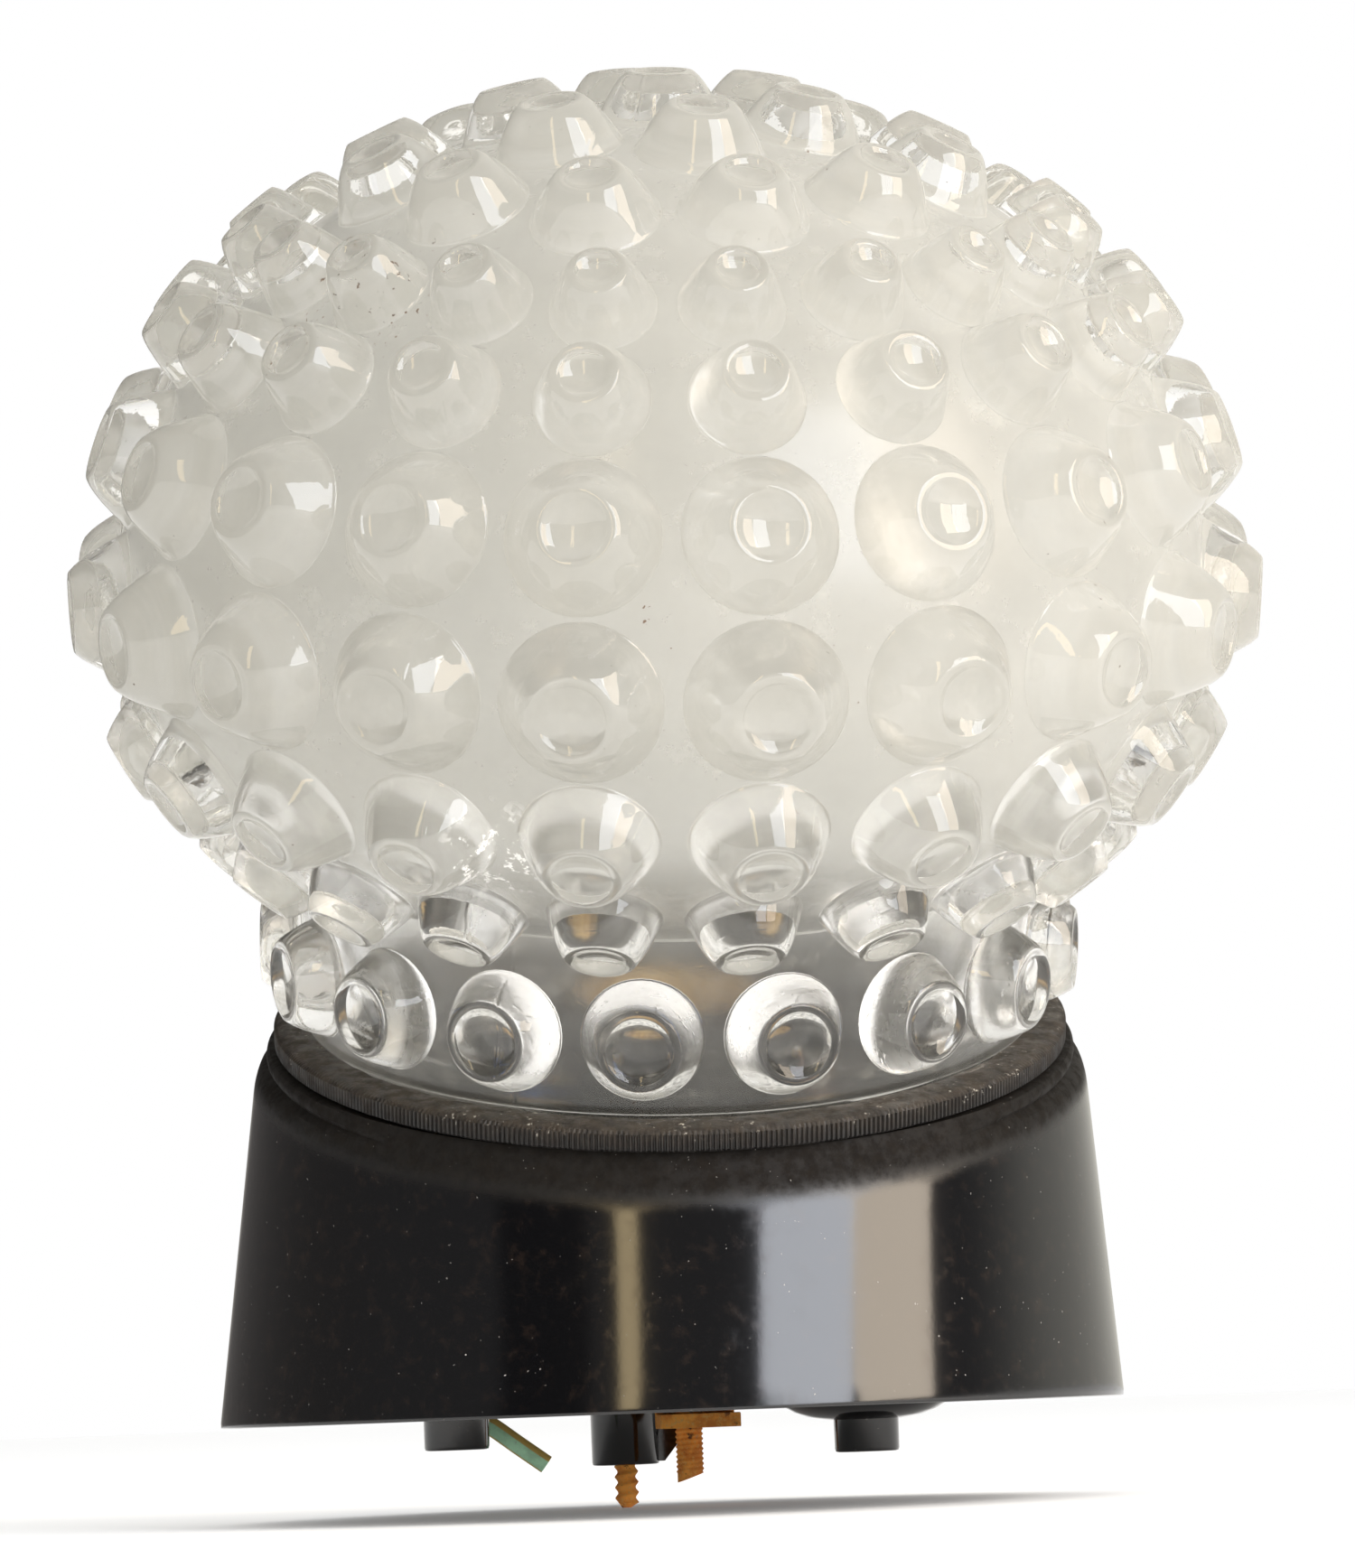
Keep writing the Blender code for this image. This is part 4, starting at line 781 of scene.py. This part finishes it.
def glass_skin():
    """The whole glass; returns the skin and the number of faces on its outside."""
    skin = Skin()
    above, above_turn = build_globe(skin)
    upper, lower, ring_turn = boss_cells(
        skin, COLLAR_BOSSES, radians(COLLAR_BOSS_TURN), on_collar, collar_point, 0.0,
        -COLLAR_BOSS_FOOT_R - 0.4, COLLAR_BOSS_FOOT_R + 0.4, COLLAR_BOSS_FOOT_R,
        COLLAR_BOSS_CAP_R, COLLAR_BOSS_HEIGHT)
    skin.bridge(above, upper, above_turn, ring_turn)
    rings = [circle(COLLAR_R, COLLAR_LOW_H + 0.9, FINE),
             circle(COLLAR_R - 0.25, COLLAR_LOW_H + 0.3, FINE),
             circle(COLLAR_R - 0.9, COLLAR_LOW_H, FINE),
             circle(GLASS_THREAD_R + THREAD_DEPTH * 0.3, COLLAR_LOW_H, FINE)]
    rings += neck_thread(GLASS_THREAD_R, COLLAR_LOW_H - 1.2, GLASS_LOW_H + 0.6, 30)
    rings += [circle(GLASS_THREAD_R - THREAD_DEPTH, GLASS_LOW_H, FINE),
              circle(GLASS_NECK_BORE_R + 0.5, GLASS_LOW_H, FINE)]
    first = skin.points(rings[0])
    skin.bridge(lower, first, ring_turn, pi / 2)
    last = skin.stack(first, rings[1:])
    outside = len(skin.faces)

    inner = [(GLASS_NECK_BORE_R, GLASS_LOW_H + 0.5), (GLASS_NECK_BORE_R, COLLAR_LOW_H - 1.0),
             (GLASS_NECK_BORE_R + 0.9, COLLAR_LOW_H + 1.6),
             (COLLAR_R - GLASS_WALL - 0.4, COLLAR_LOW_H + 4.6)]
    inner_r = GLOBE_R - GLASS_WALL
    start = -acos((COLLAR_R - GLASS_WALL) / inner_r)
    for angle in spread(start, radians(88.5), 44):
        half = half_height(angle) - GLASS_WALL
        inner.append((inner_r * cos(angle), GLOBE_MID_H + half * sin(angle)))
    last = skin.stack(last, [circle(radius, height, FINE) for radius, height in inner])
    skin.faces.append(tuple(last))
    return skin, outside


def gasket_skin():
    """Ring with fine upright ribs; also returns how near its top each point is."""
    low = LEDGE_H + GAP
    count = GASKET_RIBS * 4
    skin = Skin()
    upper = []
    profile = ((49.3, low, 0), (54.1, low, 0), (54.35, low + 0.35, 1), (54.35, low + 2.45, 1),
               (54.1, low + 2.8, 0), (53.2, low + 3.1, 0), (51.0, low + 3.2, 0),
               (49.3, low + 3.1, 0))
    rings = []
    for radius, height, ribbed in profile:
        ring = []
        for i, angle in enumerate(angles(count)):
            rib = RIB_DEPTH if ribbed and i % 4 in (1, 2) else 0.0
            ragged = 0.05 * sin(angle * 23.0) + 0.04 * sin(angle * 57.0 + 1.0)
            ring.append(polar(radius + rib, angle,
                              height + (ragged if height > low + 2.6 else 0.0)))
            upper.append(max(0.0, min(1.0, height - low - 1.7)))
        rings.append(ring)
    skin.loft(rings, closed=True)
    return skin, upper


# ---- Housing ----
def wall_ring(inset, height=None, share=None):
    """Ring on the slanted wall, at a neck height or a share of the way up the wall."""
    ring = []
    for angle in angles(FINE):
        direction = Vector(polar(1.0, angle, 0.0))
        foot = direction * (RIM_R - inset) + Vector((RIM_SHIFT_X, 0.0, 0.0))
        top = NECK_IN_RIM @ (direction * (SHOULDER_R - inset) + Vector((0, 0, SHOULDER_H)))
        foot_h = (RIM_IN_NECK @ foot).z
        part = share if height is None else (height - foot_h) / (SHOULDER_H - foot_h)
        ring.append(foot.lerp(top, part))
    return ring


def within_wall(ring):
    """Ring round the neck axis, drawn in wherever it would stand proud of the wall."""
    drawn = []
    for point, limit in zip(ring, wall_ring(0.0, ring[0][2])):
        bound = RIM_IN_NECK @ limit
        share = min(1.0, hypot(bound.x, bound.y) / hypot(point[0], point[1]))
        drawn.append(NECK_IN_RIM @ Vector((point[0] * share, point[1] * share, point[2])))
    return drawn


# Bead and shoulder below the ledge: mm outwards and downwards from the ledge's edge.
SHOULDER = ((-0.8, 0.0), (-0.25, 0.2), (0.1, 0.65), (0.2, 1.2), (0.1, 1.7), (-0.25, 2.05),
            (-0.3, 2.3), (0.1, 2.65), (0.75, 3.1), (1.3, 3.8), (1.65, 4.7), (1.95, 5.8),
            (2.15, 7.0))


def housing_skin():
    rings = [wall_ring(WALL, FLOOR_TOP_H), wall_ring(WALL, BORE_LOW_H + 2.0)]
    neck_rings = [circle(BORE_THREAD_R + 1.4, BORE_LOW_H - 0.6, FINE)]
    neck_rings += neck_thread(BORE_THREAD_R, BORE_LOW_H, LEDGE_H - 0.8, 28)
    neck_rings.append(circle(BORE_THREAD_R + 1.2, LEDGE_H, FINE))
    neck_rings += [circle(LEDGE_R + out, LEDGE_H - down, FINE) for out, down in SHOULDER]
    rings += [within_wall(ring) for ring in neck_rings]
    rings += [wall_ring(0.0, share=share) for share in (0.985, 0.93, 0.7, 0.4, 0.12, 0.02)]
    rim = ((RIM_R - 0.12, 0.12), (RIM_R - 0.5, 0.0), (RIM_R - WALL + 0.4, 0.0),
           (RIM_R - WALL, 0.4))
    rings += [circle(radius, h, FINE, (RIM_SHIFT_X, 0.0)) for radius, h in rim]
    rings.append(wall_ring(WALL, FLOOR_UNDER_H))
    return Skin().loft(rings)


def post(place, radius, top):
    x, y, low = place
    return turned(((radius - 0.45, low), (radius - 0.1, low + 0.12), (radius, low + 0.5),
                   (radius + 0.25, top)), 48, centre=(x, y))


def bore(place, radius):
    x, y, low = place
    return cylinder(radius, low - 5.0, SCREW_BOSS_TOP + 20.0, 40, (x, y))


def boss_web():
    """Rib beside the screw boss, with a slanted lower edge."""
    x, y, low = SCREW_BOSS
    outline = ((x, low + 0.4), (x + 5.6, low + 0.4), (x + 10.4, low + 6.4),
               (x + 10.4, 36.0), (x, 36.0))
    return Skin().loft([[(px, at, h) for px, h in outline] for at in (y - 1.2, y + 1.2)])


def make_housing():
    housing = make_piece("housing_shell", housing_skin(), RIM_FRAME, (LOOKS["housing_bakelite"],))
    floor = (FLOOR_UNDER_H - 3.0, FLOOR_TOP_H + 3.0)
    steps = [(skin, RIM_FRAME, "UNION")
             for skin in (post(LEFT_PILLAR, PILLAR_R, PILLAR_TOP),
                          post(RIGHT_PILLAR, PILLAR_R, PILLAR_TOP),
                          post(SCREW_BOSS, SCREW_BOSS_R, SCREW_BOSS_TOP), boss_web())]
    steps += [(gather(bore(LEFT_PILLAR, PILLAR_BORE_R), bore(RIGHT_PILLAR, PILLAR_BORE_R),
                      bore(SCREW_BOSS, SCREW_BORE_R)), RIM_FRAME, "DIFFERENCE"),
              (gather(cylinder(2.1, *floor, 32, (0.0, HOLDER_SCREW_Y)),
                      cylinder(2.1, *floor, 32, (0.0, -HOLDER_SCREW_Y)),
                      cylinder(1.9, *floor, 32, RIVET_AT),
                      cylinder(CABLE_HOLE_R, *floor, 48, CABLE_HOLE)), NECK_FRAME, "DIFFERENCE")]
    solved(housing, steps)
    stand_in(housing, "base", "base_housing")


# ---- Small metal pieces ----
def shell_skin():
    count = 64
    low = 41.3
    top = 58.5
    sheet = 0.45
    heights = spread(low + 1.4, top - 0.6, 46)
    rings = [circle(6.6, low, count), circle(12.4, low, count), circle(12.9, low + 0.25, count)]
    for height in heights:
        rings.append(thread_ring(12.78 + sheet, 0.52, 3.63, height, count))
    rings += [circle(13.6, top - 0.1, count), circle(13.6 - sheet, top, count)]
    for height in reversed(heights):
        rings.append(thread_ring(12.78, 0.52, 3.63, height, count))
    rings += [circle(12.2, low + sheet, count), circle(6.6, low + sheet, count)]
    return Skin().loft(rings, closed=True)


def nut_skin(across_flats, bore_r, low, high, centre, pitch=0.7):
    """Hexagon nut with chamfered corners and a threaded bore."""
    count = 48
    corner_r = across_flats / sqrt(3)

    def hexagon(limit, h):
        ring = []
        for angle in angles(count):
            folded = (angle + pi / 6) % (pi / 3) - pi / 6
            radius = min(across_flats / 2 / cos(folded), limit)
            ring.append(polar(radius, angle + pi / 6, h, centre))
        return ring

    flat_r = across_flats / 2 * 0.96
    rings = [hexagon(flat_r, low), hexagon(corner_r, low + 0.45), hexagon(corner_r, high - 0.45),
             hexagon(flat_r, high)]
    bore_rings = cut_thread(bore_r + 0.18, bore_r, pitch, low + 0.01, high - 0.01, centre, count)
    rings += bore_rings[::-1]
    return Skin().loft(rings, closed=True)


def washer_skin(bore_r, outer_r, low, thick, centre):
    edge = 0.15
    return turned(((bore_r, low), (outer_r - edge, low), (outer_r, low + edge),
                   (outer_r, low + thick - edge), (outer_r - edge, low + thick),
                   (bore_r, low + thick)), 56, closed=True, centre=centre)


def stud_skin():
    """Threaded stud, sheared off at a slant at its lower end."""
    rings = cut_thread(EARTH_STUD_R - 0.26, EARTH_STUD_R, 0.7, -8.6, 9.6, EARTH_STUD, 28, 8, 1.0)
    slanted = [(px, py, -9.3 + 0.35 * (px - EARTH_STUD[0])) for px, py, _ in rings[0]]
    rings.insert(0, slanted)
    rings.append(circle(EARTH_STUD_R * 0.7, 10.1, 28, EARTH_STUD))
    return Skin().loft(rings)


def mounting_screw_skin():
    centre = SCREW_BOSS[:2]
    tip = -RIM_PLANE_Z
    head = SCREW_BOSS_TOP + GAP
    count = 32
    rings = cut_thread(1.30, 1.76, 1.5, tip, 20.0, centre, count, 9, 0.8, taper=0.7)
    for radius, h in ((1.72, 21.0), (1.72, head), (3.3, head), (3.6, head + 0.3),
                      (3.55, head + 0.9), (3.1, head + 1.6), (2.2, head + 2.1),
                      (1.0, head + 2.3)):
        rings.append(circle(radius, h, count, centre))
    return Skin().loft(rings)


def slot_skin(centre, top, head_r, depth, width=0.8):
    outline = [(centre[0] + x * (head_r + 1), centre[1] + y * width / 2) for x, y in SQUARE]
    return prism(outline, top - depth, top + 2.0)


def machine_screw_skin(low, under_head, head_r, head_h, shank_r, centre):
    rings = cut_thread(shank_r * 0.8, shank_r, 0.7, low, under_head - 1.0, centre, 28, 8, 1.0,
                       taper=0.8)
    for radius, rise in ((shank_r, -0.8), (shank_r, 0.0), (head_r - 0.15, 0.0), (head_r, 0.15),
                         (head_r, head_h * 0.45), (head_r * 0.93, head_h * 0.75),
                         (head_r * 0.70, head_h * 0.95), (head_r * 0.35, head_h)):
        rings.append(circle(radius, under_head + rise, 28, centre))
    return Skin().loft(rings)


def slotted(name, node, skin, driver_slot, matrix, slot):
    piece = make_piece(name, skin, matrix, (LOOKS[slot],))
    solved(piece, [(driver_slot, matrix, "DIFFERENCE")])
    stand_in(piece, "base", node)


# ---- Wires ----
def smooth_path(points, steps):
    """Catmull-Rom curve through the control points."""
    points = [Vector(p) for p in points]
    ends = [2 * points[0] - points[1]] + points + [2 * points[-1] - points[-2]]
    path = []
    for a, b, c, d in zip(ends, ends[1:], ends[2:], ends[3:]):
        for k in range(steps):
            t = k / steps
            path.append(0.5 * (2 * b + (c - a) * t + (2 * a - 5 * b + 4 * c - d) * t ** 2
                               + (3 * b - 3 * c + d - a) * t ** 3))
    path.append(points[-1])
    return path


def swept(path, outer, inner=0.0, count=24, stripe_up=None):
    """Round wire along a path; with an inner radius it is an open-ended sleeve.

    Also returns, for each point, how much it faces along or against stripe_up.
    """
    side = UP.cross(path[1] - path[0]).normalized()
    spokes = []
    for i in range(len(path)):
        along = (path[min(i + 1, len(path) - 1)] - path[max(i - 1, 0)]).normalized()
        side = (side - along * side.dot(along)).normalized()
        other = along.cross(side)
        spokes.append([side * cos(angle) + other * sin(angle) for angle in angles(count)])

    def wall(radius):
        return [[point + out * radius for out in outs] for point, outs in zip(path, spokes)]

    marks = [[abs(out.dot(stripe_up)) if stripe_up else 0.0 for out in outs] for outs in spokes]
    if inner:
        skin = Skin().loft(wall(outer) + wall(inner)[::-1], closed=True)
        marks += marks[::-1]
    else:
        skin = Skin().loft(wall(outer))
    return skin, [mark for ring in marks for mark in ring]


def make_wire(name, core_path, sleeve_path, matrix, slot, stripe_up=None):
    core, _ = swept(core_path, CORE_R)
    replace_node(f"{name}_copper", f"{name}_core", core, matrix, "copper")
    cover, marks = swept(sleeve_path, WIRE_R, WIRE_BORE_R, stripe_up=stripe_up)
    replace_node(f"{name}_cover", f"{name}_sleeve", cover, matrix, slot,
                 values={"around": marks})


def make_wires():
    rest_z = EARTH_PLATE_TOP + GAP + CORE_R
    steps = 8
    earth = smooth_path(((-0.6, 17.6, rest_z), (-3.7, 17.2, rest_z + 0.7), (-10.3, 14.6, 4.6),
                         (-20.3, 10.6, 8.6), (-28.9, 8.4, 8.0), (-31.9, 7.6, 4.2),
                         (-29.5, 7.2, 1.2), (-25.9, 7.0, -1.1), (-22.3, 7.0, -3.8),
                         (-18.5, 7.0, -6.6)), steps)
    make_wire("earth_wire", earth, earth[3 * steps // 2:], RIM_FRAME, "earth_pvc",
              Vector((0.45, -0.35, 0.82)).normalized())
    core_h = STRAP_TOP_H + GAP + CORE_R
    for side, name, sleeve in ((1, "live_wire", "live_pvc"), (-1, "neutral_wire", "neutral_pvc")):
        path = smooth_path([(side * out, y, h) for out, y, h in (
            (22.3, 3.0, core_h), (22.3, -1.5, core_h), (22.3, -6.5, core_h),
            (21.4, -15.0, 39.6), (15.5, -26.0, 39.0), (6.5, -34.5, 36.0), (2.6, -38.0, 29.5),
            (2.4, -38.2, 23.5), (2.4, -38.0, 18.0))], steps)
        make_wire(name, path, path[2 * steps:], NECK_FRAME, sleeve)


# ---- Pieces ----
def make_looks():
    bakelite = bakelite_material("bakelite")
    return {
        "housing_bakelite": bakelite,
        "washer_bakelite": bakelite,
        "glass": glass_material("clear_glass", False),
        "glass_inside": glass_material("filmed_glass", True),
        "gasket_rubber": rubber_material(),
        "holder_bakelite": bakelite_material("holder_bakelite"),
        "brass": metal_material("tarnished_brass", (0.66, 0.46, 0.19), (0.25, 0.16, 0.08),
                                0.26, 0.3),
        "zinc_steel": metal_material("zinc_steel", (0.56, 0.56, 0.55), (0.23, 0.20, 0.17),
                                     0.30, 0.2),
        "copper": metal_material("copper_wire", (0.72, 0.36, 0.20), (0.30, 0.14, 0.08),
                                 0.28, 0.2),
        "rusty_steel": rust_material(),
        "earth_pvc": plastic_material("green_yellow_pvc", (0.50, 0.86, 0.57),
                                      (0.62, 0.44, 0.12)),
        "live_pvc": plastic_material("brown_pvc", (0.13, 0.060, 0.032)),
        "neutral_pvc": plastic_material("blue_pvc", (0.05, 0.13, 0.38)),
    }


def make_glass():
    glass, outside = glass_skin()
    raised = set(glass.raised)
    on_boss = [float(i in raised) for i in range(len(glass.vertices))]
    both = (LOOKS["glass"], LOOKS["glass_inside"])
    shade = make_piece("bubble_glass", glass, NECK_FRAME, both, 50.0, outside,
                       {"on_boss": on_boss})
    stand_in(shade, "shade", "glass_shade")
    gasket, upper = gasket_skin()
    replace_node("ribbed_gasket", "rim_gasket", gasket, NECK_FRAME, "gasket_rubber",
                 "shade_lift", values={"upper": upper})


def make_rim_pieces():
    """Stud, mounting screw, dished washer and earth clamp, which sit at the rim."""
    replace_node("earth_stud_thread", "earth_stud", stud_skin(), RIM_FRAME, "rusty_steel",
                 sharp=25.0)
    slotted("wood_screw", "mounting_screw", mounting_screw_skin(),
            slot_skin(SCREW_BOSS[:2], SCREW_BOSS_TOP + GAP + 2.3, 3.6, 1.2), RIM_FRAME,
            "rusty_steel")
    replace_node("dished_washer", "pillar_washer", turned(
        ((PILLAR_R + 0.4, -1.9), (6.2, -1.72), (8.0, -1.4), (9.9, -0.72), (11.6, 0.3),
         (11.95, 0.75), (11.8, 1.2), (11.45, 1.45), (11.0, 1.5), (9.6, 0.95), (8.0, 0.4),
         (PILLAR_R + 0.4, -0.2)), 96, closed=True, centre=RIGHT_PILLAR[:2]), RIM_FRAME,
        "washer_bakelite")
    washer_low = EARTH_PLATE_TOP + 2 * GAP + 2 * CORE_R
    replace_node("earth_flat_washer", "earth_washer",
                 washer_skin(2.3, 4.5, washer_low, WASHER_THICK, EARTH_STUD), RIM_FRAME,
                 "zinc_steel", "earth_clamp")
    nut_low = washer_low + WASHER_THICK + GAP
    replace_node("earth_hex_nut", "earth_nut",
                 nut_skin(NUT_FLATS, 2.45, nut_low, nut_low + 3.2, EARTH_STUD), RIM_FRAME,
                 "zinc_steel", "earth_nut")


def make_holder_pieces():
    high = FLOOR_UNDER_H - GAP
    for name, y in (("front", -HOLDER_SCREW_Y), ("back", HOLDER_SCREW_Y)):
        replace_node(f"holder_hex_nut_{name}", f"holder_nut_{name}",
                     nut_skin(NUT_FLATS, 2.25, high - 3.0, high, (0.0, y)), NECK_FRAME,
                     "zinc_steel")
        slotted(f"holder_pan_screw_{name}", f"holder_screw_{name}",
                machine_screw_skin(21.6, 38.3, 3.4, 2.4, 1.75, (0.0, y)),
                slot_skin((0.0, y), 40.7, 3.4, 1.2), NECK_FRAME, "zinc_steel")
    replace_node("lamp_screw_shell", "screw_shell", shell_skin(), NECK_FRAME, "brass")


# CAD nodes that stay visible, by their look.
CARRIED_OVER = {
    "holder_bakelite": ("lampholder_body",),
    "brass": ("live_strap", "neutral_strap", "centre_contact", "live_clamp_plate",
              "neutral_clamp_plate"),
    "zinc_steel": ("contact_screw", "shell_screw", "live_terminal_screw",
                   "neutral_terminal_screw", "bracket_rivet"),
    "rusty_steel": ("earth_bracket",),
}


def dress_cad_node(node, look):
    """Procedural finish and softened edges on a CAD node."""
    if not node.material_slots:
        node.data.materials.append(LOOKS[look])
    for slot in node.material_slots:
        slot.material = LOOKS[look]
    weld = node.modifiers.new("weld", "WELD")
    weld.merge_threshold = 0.00001
    bevel = node.modifiers.new("edge", "BEVEL")
    bevel.width = 0.00018
    bevel.segments = 2
    bevel.limit_method = "ANGLE"
    bevel.angle_limit = radians(38.0)


# ---- Stage, light and camera ----
CAMERA_AT = (-0.0528, -0.7131, 0.0134)
CAMERA_HEADING = -4.33
CAMERA_PITCH = 6.78
CAMERA_ROLL = -2.16
CAMERA_LENS = 121.2
FLOOR_HALF = 30.0
AIM = Vector((0.0, 0.0, 0.075))

# name, turn from the front in degrees, elevation, distance, width, height, radiance, colour
WINDOWS = (
    ("window_cool", 30.0, 20.0, 1.5, 0.60, 1.15, 7.2, (0.90, 0.93, 1.0)),
    ("window_warm", 53.0, 20.0, 1.5, 0.58, 1.15, 7.0, (1.0, 0.86, 0.70)),
    ("window_strip", -14.5, 22.0, 1.7, 0.14, 1.1, 5.0, (1.0, 0.78, 0.44)),
)


def make_windows():
    for name, turn, elevation, distance, width, height, radiance, colour in WINDOWS:
        light = bpy.data.lights.new(name, "AREA")
        light.shape = "RECTANGLE"
        light.size = width
        light.size_y = height
        light.color = colour
        light.energy = radiance * pi * width * height
        holder = bpy.data.objects.new(name, light)
        rise = radians(elevation)
        away = around(cos(rise), sin(rise), radians(turn))
        holder.location = AIM + away * distance
        holder.rotation_mode = "QUATERNION"
        holder.rotation_quaternion = away.to_track_quat("Z", "Y")
        bpy.context.collection.objects.link(holder)


def make_world():
    """White for the camera and for soft light; the room for reflections and glass."""
    world = bpy.data.worlds.new("studio")
    bpy.context.scene.world = world
    world.use_nodes = True
    world.cycles.sampling_method = "NONE"
    g = Graph(world)
    axes = g.axes(g.add("TexCoord", out="Generated"))
    behind = g.fade(axes["Y"], -0.30, 0.35)
    leftward = g.fade(axes["X"], 0.15, -0.25)
    far_side = g.mix(leftward, (0.80, 0.775, 0.70), (0.15, 0.14, 0.135))
    room = g.mix(behind, (0.17, 0.165, 0.165), far_side)
    turn = g.math("ARCTAN2", axes["X"], g.times(axes["Y"], -1.0))
    gap = g.math("ABSOLUTE", g.minus(turn, radians(-36.0)))
    dark = g.fade(gap, radians(14.0), radians(9.0))
    room = g.mix(g.times(dark, 0.85), room, (0.02, 0.02, 0.022))
    path = g.node("LightPath")
    seen = g.most(path.outputs["Is Camera Ray"], path.outputs["Is Diffuse Ray"])
    through_glass = g.times(path.outputs["Is Transmission Ray"], 0.95)
    room = g.mix(through_glass, room, (0.99, 0.98, 0.95))
    white = g.add("Background", {"Color": (1.0, 1.0, 1.0)})
    g.finish(g.blend(seen, g.add("Background", {"Color": room}), white), "OutputWorld")


def make_stage():
    half = FLOOR_HALF / MM
    floor = prism([(x * half, y * half) for x, y in SQUARE], -20.0, 0.0)
    make_piece("studio_floor", floor, Matrix(), (floor_material(),))


def make_camera():
    data = bpy.data.cameras.new("camera")
    data.lens = CAMERA_LENS
    data.clip_start = 0.01
    data.clip_end = 200.0
    camera = bpy.data.objects.new("camera", data)
    camera.matrix_world = (
        Matrix.Translation(CAMERA_AT)
        @ Matrix.Rotation(radians(CAMERA_HEADING), 4, "Z")
        @ Matrix.Rotation(radians(90.0 + CAMERA_PITCH), 4, "X")
        @ Matrix.Rotation(radians(CAMERA_ROLL), 4, "Z"))
    bpy.context.collection.objects.link(camera)
    bpy.context.scene.camera = camera


def set_light_paths():
    scene = bpy.context.scene
    scene.view_settings.view_transform = "Standard"
    for key, value in {"max_bounces": 24, "transmission_bounces": 24, "glossy_bounces": 6,
                       "diffuse_bounces": 4, "transparent_max_bounces": 24,
                       "caustics_refractive": False, "caustics_reflective": False,
                       "sample_clamp_indirect": 6.0}.items():
        setattr(scene.cycles, key, value)


LOOKS = make_looks()
make_glass()
make_housing()
make_rim_pieces()
make_holder_pieces()
make_wires()
for look, nodes in CARRIED_OVER.items():
    for name in nodes:
        dress_cad_node(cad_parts[name], look)
make_stage()
make_windows()
make_world()
make_camera()
set_light_paths()
